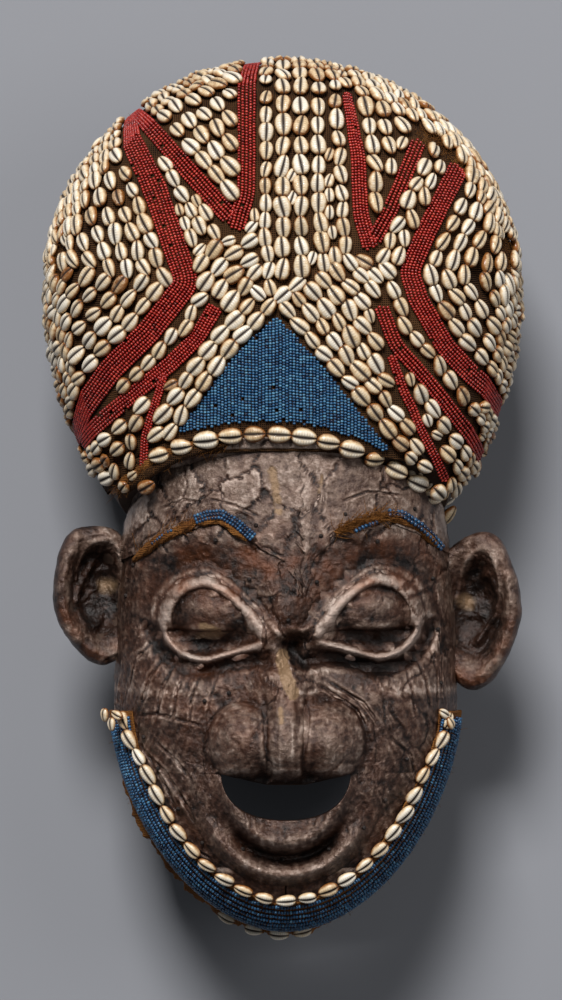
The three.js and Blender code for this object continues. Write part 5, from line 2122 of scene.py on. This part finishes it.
@dataclass
class BeadWork:
    """Strings of glass beads: bands on the crown, the blue triangle, the beard and the brows."""

    crown: CrownForm
    head: HeadForm
    red: Material
    blue: Material
    pitch: float = 2.15
    size: float = 2.5

    def __post_init__(self) -> None:
        """Starts the random numbers and the bead's shape."""
        self.random = np.random.default_rng(17)
        self.template = barrel_template()

    def beads(self, name: str, centres: Array, along: Array, outward: Array, size: Array, slot: Slot,
              *nodes: str, pale: float = 0.5) -> Thing:
        """Builds a piece of beads.

        Args:
            name: the piece's name.
            centres: the beads' places.
            along: the thread's direction at each.
            outward: the direction away from the cloth.
            size: each bead's width.
            slot: red or blue.
            nodes: the solids it replaces.
            pale: their mean shade, from 0 to 1.

        Returns:
            The piece.
        """
        count = len(centres)
        along = unit(unit(along) + self.random.normal(0, 0.07, (count, 3)))
        outward = unit(outward - (along * outward).sum(1, keepdims=True) * along)
        width = size * self.random.uniform(0.88, 1.06, count)
        long = size / self.size * self.pitch * self.random.uniform(0.86, 1.04, count)
        points, faces = copies(self.template, centres, along, outward, np.stack([long, width, width], 1))
        shade = np.repeat(np.clip(self.random.normal(pale, 0.2, count), 0, 1), len(self.template.points))
        # The end values mark where the beads' ends get painted shade.
        values = {"shade": shade, "end": np.tile(self.template.values["end"], count)}
        finish = self.red if slot is Slot.RED else self.blue
        return finish_piece(build_mesh(name, points, faces, values), slot, finish, *nodes)

    def on_crown(self, line: list) -> tuple[Array, Array, Array]:
        """Bead places along one strand on the crown.

        Args:
            line: the strand's line in the plane.

        Returns:
            Centres, directions and outward normals.
        """
        start = self.random.integers(6)
        places, ways = (part[start::6] for part in resample(line, self.pitch / 6))
        wander = 0.5 * GRAIN.layers(places[:, 0] / 11, places[:, 1] / 11, 0.7, 3)
        places = places + left_of(ways) * wander[:, None]
        keep = self.crown.reach(*places.T) < 1.24
        keep &= self.random.random(len(places)) > 0.012
        places, ways = places[keep], ways[keep]
        lift = 3.0 + self.size / 2 + 0.25 * self.random.random(len(places))
        centres = self.crown.on(places[:, 0], places[:, 1], lift)
        ahead = self.crown.wrap(*(places + ways).T) - self.crown.wrap(*(places - ways).T)
        return centres, ahead, self.crown.normal(*places.T)

    def bands(self) -> None:
        """Builds the crown's red bands, each strand rounded at the corners."""
        groups: dict[str, list] = {}
        for band in BANDS:
            smooth = smoothed(resample(band.line, 1.6)[0], 12)
            width = band.width_at(np.linspace(0, 1, len(smooth)))
            ways = unit(np.gradient(smooth, axis=0))
            for strand in range(band.strands):
                part = (strand + 0.5) / band.strands - 0.5
                line = smooth + left_of(ways) * (part * width)[:, None]
                forward = (np.diff(line, axis=0) * ways[:-1]).sum(1) > 0.25
                line = np.concatenate([line[:1], line[1:][forward]])
                trim = int(abs(part) * 3.5)
                line = line[trim:len(line) - trim]
                groups.setdefault(band.node, []).append(self.on_crown(line.tolist()))
        for node, parts in groups.items():
            centres, along, outward = joined(parts)
            size = np.full(len(centres), self.size)
            self.beads(node + "_glass", centres, along, outward, size, Slot.RED, node, pale=0.6)

    def triangle(self) -> None:
        """Builds the blue triangle in upright strands, with a gap here and there."""
        parts = []
        for x in np.arange(-77, 82, 2.5):
            y = np.arange(20, 134, 1.0)
            within = triangle_inside(np.full(y.shape, x), y, -0.4)
            if within.sum() < 4:
                continue
            low, high = y[within][0], y[within][-1]
            line = [[x, low], [x, (low + high) / 2], [x, high]]
            parts.append(self.on_crown(line))
        centres, along, outward = joined(parts)
        size = np.full(len(centres), self.size)
        self.beads("blue_triangle_glass", centres, along, outward, size, Slot.BLUE, "blue_bead_triangle",
                   pale=0.56)

    def beard(self) -> None:
        """Builds the beard's strands round the jaw, even along the surface from the shells to the cloth's
        edge."""
        fine = np.linspace(0.902, 1.05, 60)
        angle = np.linspace(-1.43, 1.43, 1500)
        parts = []
        strands = 10
        grid = self.head.jaw(fine[:, None] + 0 * angle, angle[None] + 0 * fine[:, None], np.array(5.6))
        for strand in range(strands):
            reach = np.concatenate([np.zeros((1, len(angle))),
                                    np.cumsum(np.linalg.norm(np.diff(grid, axis=0), axis=-1), axis=0)])
            target = reach[-1] * (strand + 0.5) / strands
            index = (reach < target).sum(0).clip(1, len(fine) - 1)
            column = np.arange(len(angle))
            low, high = reach[index - 1, column], reach[index, column]
            part = ((target - low) / np.maximum(high - low, 1e-9))[:, None]
            line = grid[index - 1, column] * (1 - part) + grid[index, column] * part
            length = running(np.linalg.norm(np.diff(line, axis=0), axis=1))
            spots = points_at(np.arange(self.random.uniform(0, 2), length[-1], self.pitch * 1.04), length,
                              line)
            parts.append((spots + self.random.normal(0, 0.15, spots.shape), np.gradient(spots, axis=0),
                          self.head.from_jaw(spots)))
        centres, along, outward = joined(parts)
        size = np.full(len(centres), self.size * 1.04)
        self.beads("beard_glass", centres, along, outward, size * 1.06, Slot.BLUE, "beard_beads", pale=0.42)

    def on_face(self, line: list, lift: float, size: float) -> tuple[Array, Array, Array, Array]:
        """Bead places along a line on the face.

        Args:
            line: the line in the plane.
            lift: their height over the wood.
            size: the beads' width.

        Returns:
            Centres, directions, outward directions and widths.
        """
        places, _ = resample(line, self.pitch * size / self.size)
        x, y = places.T
        centres = np.stack([x, y, self.head.over(x, y) + lift], 1)
        outward = np.stack([x * 0.004, y * 0, y * 0 + 1], 1)
        return centres, np.gradient(centres, axis=0), outward, np.full(len(x), size)

    def brows(self) -> None:
        """Builds the brows' beads, each side's strands side by side and a short one apart from them.

        The left brow has three fine strands and the right brow two thick ones. The short one is further out
        on the left and in the tuft on the right.
        """
        left = [[-64, -18.4], [-56, -15.5], [-45.9, -14.7], [-35, -21], [-23.3, -31.2]]
        right = [[79, -15.0], [88, -15.6], [101, -24], [109, -31], [117.5, -40.3]]
        for node, line, beside, lift, size, apart in (
                ("left_brow", left, (-1.6, 0.9, 3.4), 7.6, 2.8,
                 ([[-97, -35.5], [-88, -28.5], [-83, -26]], 8.2, 2.7)),
                ("right_brow", right, (0.6, 3.5), 8.6, 3.5,
                 ([[54, -26], [61, -22.5], [69, -20]], 10.5, 3.2))):
            parts = [self.on_face(offset_line(line, distance), lift, size) for distance in beside]
            centres, along, outward, sizes = joined([*parts, self.on_face(*apart)])
            self.beads(node + "_glass", centres, along, outward, sizes, Slot.BLUE, node, pale=0.22)


@dataclass
class Fibres:
    """Loose raffia: thin tapering strands, each a bent three-sided rod."""

    finish: Material

    def build(self, name: str, roots: Array, ways: Array, lengths: Array, thick: float, curl: float,
              seed: int,
              *nodes: str) -> Thing:
        """Builds strands from roots.

        Args:
            name: the piece's name.
            roots: where each starts.
            ways: the unit direction it sets out in.
            lengths: how long each is.
            thick: its thickness at the root.
            curl: how far it bends away, as a share of its length.
            seed: the seed for the bends.
            nodes: the solids it replaces.

        Returns:
            The piece.
        """
        random = np.random.default_rng(seed)
        count, steps = len(roots), 6
        share = np.linspace(0, 1, steps)
        bend = random.normal(0, 1, (count, 3))
        again = random.normal(0, 1, (count, 3))
        path = roots[:, None] + share[None, :, None] * (ways * lengths[:, None])[:, None]
        path = path + (share**2)[None, :, None] * (bend * (curl * lengths)[:, None])[:, None]
        path = path + np.sin(share * 5)[None, :, None] * (again * (0.3 * curl * lengths)[:, None])[:, None]
        ahead = unit(np.gradient(path, axis=1))
        side = unit(np.cross(ahead, random.normal(0, 1, (count, 1, 3)) + 0 * ahead))
        other = np.cross(ahead, side)
        turn = around(3)
        radius = (thick / 2 * (1 - 0.65 * share)[None, :, None, None]
                  * random.uniform(0.6, 1.3, (count, 1, 1, 1)))
        ring = (path[:, :, None] + radius * (np.cos(turn)[None, None, :, None] * side[:, :, None]
                                             + np.sin(turn)[None, None, :, None] * other[:, :, None]))
        each = steps * 3
        faces = grid_faces(steps, 3, wrap=True)
        caps = np.array([[2, 1, 0], [each - 3, each - 2, each - 1]])
        starts = np.arange(count)[:, None, None] * each
        groups = [(faces[None] + starts).reshape(-1, 4), (caps[None] + starts).reshape(-1, 3)]
        return finish_piece(build_mesh(name, ring.reshape(-1, 3), groups, {}), Slot.CLOTH, self.finish,
                            *nodes)


@dataclass
class Dress:
    """What else is sewn on: shell rows, the beard's cloth, the brows' raffia, the hem's folds, and nails."""

    crown: CrownForm
    head: HeadForm
    cloth: Material
    raffia: Material
    shell: Material
    iron: Material

    def forehead_row(self) -> None:
        """Builds the large shells over the forehead, end to end along the bottom of the crown's dress."""
        line = [[x, float(row_y(np.array(x))) - 2.2] for x in np.linspace(-92, 100, 40)]
        places, ways = resample(line, 17.6)
        x, y = places.T
        extra = np.array([[98.0, 20.0], [107.5, 12.0], [112.0, 0.0], [121.5, -2.0], [124.5, -14.5]])
        turned = np.array([[0.5, -1.0], [0.25, 1.0], [1.0, -0.3], [1.0, -0.1], [0.3, 1.0]])
        x, y = np.append(x, extra[:, 0]), np.append(y, extra[:, 1])
        ways = np.vstack([ways, turned])
        up = self.crown.height(x, y)
        face = self.head.over(x, y)
        z = np.maximum(np.where(self.crown.above_hem(y, up) > -2, up + 4.2, face + 4), face + 4) + 3.2
        along = np.stack([ways[:, 0], ways[:, 1], np.zeros(len(x))], 1)
        outward = unit(self.crown.normal(x, y) + [0, -0.15, 0.3])
        sizes = (np.tile([18.6, 15.0, 9.2], (len(x), 1))
                 * np.random.default_rng(3).uniform(0.9, 1.1, (len(x), 1)))
        shells("forehead_row_shells", np.stack([x, y, z], 1), along, outward, sizes, self.shell,
               "forehead_cowrie_row")

    def beard_row(self) -> None:
        """Builds the shells inside the beard's beads and the small ones at the chin and the upper ends."""
        angle = np.linspace(-1.47, 1.47, 900)
        share = 0.876 + 0.055 * ramp(1.1, 1.42, np.abs(angle))
        line = self.head.jaw(share, angle, np.array(4.2))
        length = running(np.linalg.norm(np.diff(line, axis=0), axis=1))
        count = 25
        spots = points_at((np.arange(count) + 0.5) / count * length[-1], length, line)
        ahead = np.gradient(spots, axis=0)
        outward = self.head.from_jaw(spots)
        outward[:, 2] = 240
        outward = unit(outward)
        random = np.random.default_rng(8)
        sizes = np.tile([16.0, 11.2, 7.6], (count, 1)) * random.uniform(0.9, 1.1, (count, 1))
        ends = np.array([[-133, -164], [-128, -171], [-124, -164], [125, -170], [120, -163]], float)
        spots_end = np.stack([ends[:, 0], ends[:, 1], self.head.face_height(
            np.sign(ends[:, 0]) * np.minimum(np.abs(ends[:, 0] - 2), 117), ends[:, 1]) + 6], 1)
        out_end = np.stack([np.sign(ends[:, 0]) * 0.7, np.zeros(5), np.ones(5) * 0.7], 1)
        spots = np.vstack([spots + outward * 2.6, spots_end])
        ahead = np.vstack([ahead,
                           np.stack([random.normal(0, 1, 5), random.normal(0, 1, 5), np.zeros(5)], 1)])
        outward = np.vstack([outward, out_end])
        sizes = np.vstack([sizes, np.tile([11.0, 8.0, 6.0], (5, 1))])
        shells("beard_row_shells", spots, ahead, outward, sizes, self.shell, "beard_cowrie_row")
        turn = np.array([-0.36, -0.2, -0.045, 0.11, 0.34])
        spots = self.head.jaw(np.full(5, 1.02), turn, np.array([9.0, 9.0, 8.6, 7.6, 2.0]))
        outward = np.stack([np.sin(turn), -0.55 * np.cos(turn), 1.0 + 0 * turn], 1)
        ahead = np.stack([np.cos(turn), np.sin(turn), 0 * turn], 1)
        sizes = np.tile([15.0, 10.5, 7.2], (5, 1)) * random.uniform(0.92, 1.08, (5, 1))
        shells("chin_row_shells", spots, ahead, outward, sizes, self.shell, "chin_cowrie_row")

    def beard_cloth(self) -> None:
        """Builds the brown cloth under the beard's beads, wider than them and ragged on both edges."""
        angle = np.linspace(-1.46, 1.46, 420)
        share = np.concatenate([np.linspace(0, 0.8, 22), np.linspace(0.84, 1, 6)])
        angle, share = np.meshgrid(angle, share, indexing="xy")
        wander = 0.012 * GRAIN.layers(angle * 14, share * 0, 0.3, 4)
        right = 0.03 * ramp(0.5, 0.8, angle) * ramp(1.3, 1.0, angle)
        inner, outer = 0.893 - right + wander, 1.09 + wander
        reach = inner + (outer - inner) * share
        fuzz = 0.3 * GRAIN.layers(angle * 30, share * 9, 1.2, 3)
        ragged = (1 + 0.5 * GRAIN.layers(angle * 30, angle * 0, 4.1, 4)
                  + 0.12 * GRAIN.layers(angle * 90, angle * 0, 1.1, 2))
        flare = ((2.2 + 4.3 * ramp(0.45, 0.1, angle) * ramp(-1.25, -1.0, angle)) * ramp(1.0, 1.06, reach)
                 * ragged)
        top = self.head.jaw(reach, angle, 3.7 + fuzz + flare)
        under = self.head.jaw(reach, angle, 2.2 + flare)
        under[..., 2] -= 0.4
        under[..., 1] += 0.4 * (reach > 0.9)
        piece = sheet_piece("beard_cloth_weave", top, under, {"tone": fuzz}, 5)
        finish_piece(piece, Slot.CLOTH, self.raffia, "beard_cloth")

    def rod(self, name: str, line: list, radius: float, lift: float, lumps: float, seed: int) -> None:
        """Builds a roll of twisted raffia on the face.

        Args:
            name: the piece's name.
            line: its line in the plane.
            radius: its radius.
            lift: its middle over the wood.
            lumps: how uneven it is, as a share.
            seed: the seed for its unevenness.
        """
        places, _ = resample(line, 0.7)
        x, y = places.T
        centre = smoothed(np.stack([x, y, self.head.over(x, y) + lift], 1), 4)
        ahead = unit(np.gradient(centre, axis=0))
        side = unit(np.cross([0, 0, 1.0], ahead))
        up = np.cross(ahead, side)
        share = np.linspace(0, 1, len(x))
        ends = np.minimum(1, np.minimum(share, 1 - share) * 9 + 0.12) ** 0.5
        turn = around(26)
        twist = turn[None] * 5 + share[:, None] * len(x) * 0.35
        round_part = radius * ends[:, None] * (1 + 0.12 * np.sin(twist)
                                               + lumps * GRAIN.layers(x[:, None] / 5, turn[None], seed, 3))
        points = centre[:, None] + round_part[..., None] * (
            np.cos(turn)[None, :, None] * side[:, None] + 0.8 * np.sin(turn)[None, :, None] * up[:, None])
        finish_piece(tube_solid(name, points), Slot.CLOTH, self.raffia)

    def tufts(self, fibres: Fibres) -> None:
        """Builds the frayed raffia: the brows' tufts, the hem, the bare patches and the rim.

        Args:
            fibres: what builds the strands.
        """
        random = np.random.default_rng(23)

        def along(line: list, count: int, spread: float) -> tuple[Array, Array]:
            """Places scattered along a line, and its direction at each.

            Args:
                line: its corners.
                count: how many.
                spread: how far they stray.

            Returns:
                The places and the directions.
            """
            places, ways = resample(line, 0.5)
            pick = random.integers(0, len(places), count)
            return places[pick] + random.normal(0, spread, (count, 2)), ways[pick]

        for name, line, count, spread in (("right_brow_tuft", [[39, -27], [52, -21], [66, -16], [80, -15]],
                                           330, 1.9),
                                          ("left_brow_tuft", [[-112, -47], [-93.4, -31.5], [-66, -18]], 160,
                                           1.5)):
            places, ways = along(line, count, spread)
            x, y = places.T
            roots = np.stack([x, y, self.head.over(x, y) + random.uniform(4.2, 8.0, count)], 1)
            out = np.stack([ways[:, 0] + random.normal(0, 0.5, count), ways[:, 1]
                            + random.normal(0, 0.5, count),
                            random.normal(0.15, 0.25, count)], 1)
            fibres.build(name, roots, unit(out), random.uniform(5, 13, count), 0.62, 0.18, 4)
        hem = [[x, float(row_y(np.array(x))) - 5] for x in np.linspace(-38, -96, 8)] + [[-124, 4]]
        places, ways = along(hem, 420, 2.6)
        x, y = places.T
        z = np.maximum(self.crown.height(x, y), self.head.face_height(np.clip(x - 2, -118, 118), y)) + 3.5
        out = np.stack([ways[:, 0] * 0.8 + random.normal(0, 0.4, 420), -0.8 + random.normal(0, 0.4, 420),
                        random.normal(0.1, 0.3, 420)], 1)
        fibres.build("hem_fringe", np.stack([x, y, z], 1), unit(out), random.uniform(4, 9, 420), 0.5, 0.2, 6)
        patches = []
        for outline, count in zip(BARE_PATCHES, (380, 150, 150)):
            corners = np.array(outline)
            spots = random.uniform(corners.min(0), corners.max(0), (count * 2, 2))
            patches.append(spots[inside(spots[:, 0], spots[:, 1], outline)][:count])
        turn = random.uniform(-1.9, 1.9, 420)
        reach = random.uniform(1.0, 1.22, 420)
        way = np.where(np.cos(turn) > 0, self.crown.up, self.crown.down)
        patches.append(np.stack([self.crown.half_width * reach * np.sin(turn),
                                 self.crown.middle_y + way * reach * np.cos(turn)], 1))
        x, y = np.concatenate(patches).T
        normal = self.crown.normal(x, y)
        out = unit(normal * 0.5 + random.normal(0, 0.6, normal.shape))
        fibres.build("cloth_fuzz", self.crown.on(x, y, 2.6), out, random.uniform(2.5, 6.5, len(x)), 0.4,
                     0.35, 9)
        angle = random.uniform(-1.45, 1.45, 520)
        roots = self.head.jaw(np.full(520, 1.06) + random.normal(0, 0.012, 520), angle, np.full(520, 3.4))
        out = np.stack([np.sin(angle), -np.cos(angle), random.normal(-0.3, 0.5, 520)], 1)
        out = unit(out + random.normal(0, 0.35, out.shape))
        fibres.build("beard_fringe", roots, out, random.uniform(2.5, 6.0, 520), 0.5, 0.3, 12)

    def hem_folds(self) -> None:
        """Builds the cloth's folded hem at the lower left: three overlapping turned-over layers."""
        line = [[-34, 39], [-52, 37], [-72, 31.5], [-92, 23], [-108, 13], [-122, 2]]
        for number, (down, lift, broad) in enumerate(((1.0, 6.2, 7.5), (-4.5, 4.8, 8.0), (-9.5, 3.0, 8.0))):
            places, ways = resample(offset_line(line, down), 0.9)
            share = np.linspace(0, 1, len(places))
            taper = (ramp(0, 0.45, share) * (1 - 0.35 * number) + 0.35 * number * ramp(0.2, 0.75, share))
            taper = np.maximum(taper * ramp(1.02, 0.93, share), 0.06)
            across = np.linspace(-1, 1, 22)
            x0, y0 = places.T
            side = left_of(ways)
            edge = 1 + 0.35 * GRAIN.layers(x0 / 4, y0 / 4, number * 3.0, 3)[:, None] * (across[None] < 0)
            wave = 1.2 * GRAIN.layers(x0 / 11, np.full(x0.shape, number * 3.0), 0.2, 3)
            reach = across[None] * edge * (broad / 2 * taper)[:, None]
            x = x0[:, None] + side[:, :1] * reach
            y = y0[:, None] + side[:, 1:] * reach + wave[:, None]
            ground = np.maximum(self.crown.height(x, y), self.head.face_height(np.clip(x - 2, -120, 120), y))
            ground = smoothed(ground, 3)
            roll = 2.4 * np.sqrt(np.maximum(0, 1 - across**2))[None] * taper[:, None]
            ripple = (0.8 * GRAIN.creases(x / 6, y / 3, number * 1.7, 3) - 0.3) * taper[:, None]
            top = np.stack([x, y, ground + lift + roll + ripple], -1)
            under = np.stack([x, y, ground + lift - 1.2 + 0 * roll], -1)
            piece = sheet_piece(f"hem_fold_{number + 1}", top, under, {"tone": ripple}, 5)
            finish_piece(piece, Slot.CLOTH, self.raffia if number == 1 else self.cloth)

    def nails(self) -> None:
        """Builds the round iron nail heads along the sheets' edges."""
        spots = [[-50, -33], [-93, -203], [-78, -233], [-60, -258], [-118, -75], [-112, -52], [-20, -22],
                 [28, -30], [70, -34], [112, -62], [116, -100], [118, -140], [60, -246], [76, -226], [92, -196],
                 [-104, -180], [-58, -152], [-40, -146], [-25, -62], [25, -64], [8, -70], [4, -92], [-100, -18],
                 [-70, -8], [46, -14], [98, -10], [114, -30], [-30, -262], [0, -270], [34, -262]]
        x, y = np.array(spots, float).T
        centre = np.stack([x, y, self.head.over(x, y) + 2.9], 1)
        turn = around(10)
        rings = [(1.0, -1.0), (1.0, 0.0), (0.86, 0.5), (0.5, 0.86)]
        points = np.concatenate([np.stack([radius * np.cos(turn), radius * np.sin(turn), np.full(10, high)], 1)
                                 for radius, high in rings])
        caps = np.stack([turn.argsort()[::-1], 30 + np.arange(10)])
        shape = Template(points, [grid_faces(4, 10, wrap=True), caps])
        count = len(x)
        along, outward = np.tile([1.0, 0, 0], (count, 1)), np.tile([0.0, 0, 1], (count, 1))
        sizes = np.tile([3.4, 3.4, 2.0], (count, 1))
        spread, faces = copies(shape, centre, along, outward, sizes)
        thing = build_mesh("sheet_nails", spread, faces, {"tone": np.full(len(spread), 0.25),
                                                          "warmth": np.zeros(len(spread))})
        finish_piece(thing, Slot.COPPER, self.iron)


@dataclass(frozen=True)
class Studio:
    """The camera, the floor and the light."""

    sensor_mm: float = 36.0
    lens_mm: float = 213.7
    camera_at: tuple = (-0.0015, -0.0014, 4.6)
    far: float = 50.0
    floor_half: float = 6.0
    paper: str = "#8d8e93"
    air: str = "#9fa3a8"
    air_strength: float = 0.24
    lamps: tuple = (("key", (-1.1, 5.2, 6.6), 2.6, 850.0), ("fill", (2.3, 0.7, 2.6), 1.8, 22.0))

    def build(self) -> None:
        """Sets up a long lens straight down, a floor, a soft lamp above the crown and a weak one at its side."""
        scene = bpy.context.scene
        scene.view_settings.view_transform = "Standard"
        lens = bpy.data.cameras.new("camera")
        lens.sensor_width, lens.lens, lens.clip_end = self.sensor_mm, self.lens_mm, self.far
        camera = bpy.data.objects.new("camera", lens)
        camera.location = self.camera_at
        scene.collection.objects.link(camera)
        scene.camera = camera
        half = self.floor_half
        floor = bpy.data.meshes.new("floor")
        floor.from_pydata([(-half, -half, 0), (half, -half, 0), (half, half, 0), (-half, half, 0)], [],
                          [(0, 1, 2, 3)])
        ground = bpy.data.objects.new("floor", floor)
        scene.collection.objects.link(ground)
        floor.materials.append(Surface("studio_paper").finished({"Base Color": linear(self.paper),
                                                                 "Roughness": 0.9}))
        for name, (x, y, z), size, power in self.lamps:
            lamp = bpy.data.lights.new(name, "AREA")
            lamp.size, lamp.energy = size, power
            thing = bpy.data.objects.new(name, lamp)
            thing.location = (x, y, z)
            thing.rotation_euler = (math.acos(z / math.hypot(x, y, z)), 0, math.atan2(y, x) + math.pi / 2)
            scene.collection.objects.link(thing)
        scene.world = bpy.data.worlds.new("studio")
        scene.world.use_nodes = True
        background = scene.world.node_tree.nodes["Background"].inputs
        background["Color"].default_value = linear(self.air)
        background["Strength"].default_value = self.air_strength


def main() -> None:
    """Builds every part of the mask, from the wood outwards."""
    logging.basicConfig(level=logging.INFO, format="%(message)s")
    Studio().build()
    copper = AgedCopper().material()
    cloth = RaffiaCloth().material()
    raffia = RaffiaCloth("raffia_fibre", "#4a2610", "#c08140", 1.2, 0.9).material()
    shell = CowrieShell().material()
    red = GlassBead("red_glass", "#640f0b", "#a81f18", "#cc3f30").material()
    blue = GlassBead("blue_glass", "#0f2b49", "#2a628e", "#5c96b8").material()
    iron = AgedCopper("nail_iron", "#15100e", "#2e2420", "#453a34", "#6b5c54", "#3a2418", 0.5,
                      0.5).material()
    ears = [Ear("left_ear_sheet", -141, -74, 33, 52, 0.1, -1),
            Ear("right_ear_sheet", 146, -87, 34, 58, -0.08, 1)]
    WoodenCore(HEAD, CROWN, ears, CarvedWood().material()).build()
    CopperSheets(HEAD, copper).build()
    for ear in ears:
        ear.skin(copper)
    CrownCloth(CROWN, cloth).build()
    beads = BeadWork(CROWN, HEAD, red, blue)
    beads.bands()
    beads.triangle()
    beads.beard()
    beads.brows()
    Cowries(CROWN, shell).build()
    dress = Dress(CROWN, HEAD, cloth, raffia, shell, iron)
    dress.forehead_row()
    dress.beard_cloth()
    dress.beard_row()
    dress.rod("left_brow_roll", [[-112, -49], [-93.4, -33.5], [-64, -20], [-46.5, -17.2], [-26, -33]], 3.2,
              4.6,
              0.5, 3)
    dress.rod("right_brow_roll", [[38.4, -27.5], [52, -22.2], [79.8, -15.4], [101, -24], [117.5, -40.3]],
              3.1, 3.8,
              0.25, 5)
    dress.hem_folds()
    dress.tufts(Fibres(raffia))
    dress.nails()


if __name__ == "__main__":
    main()
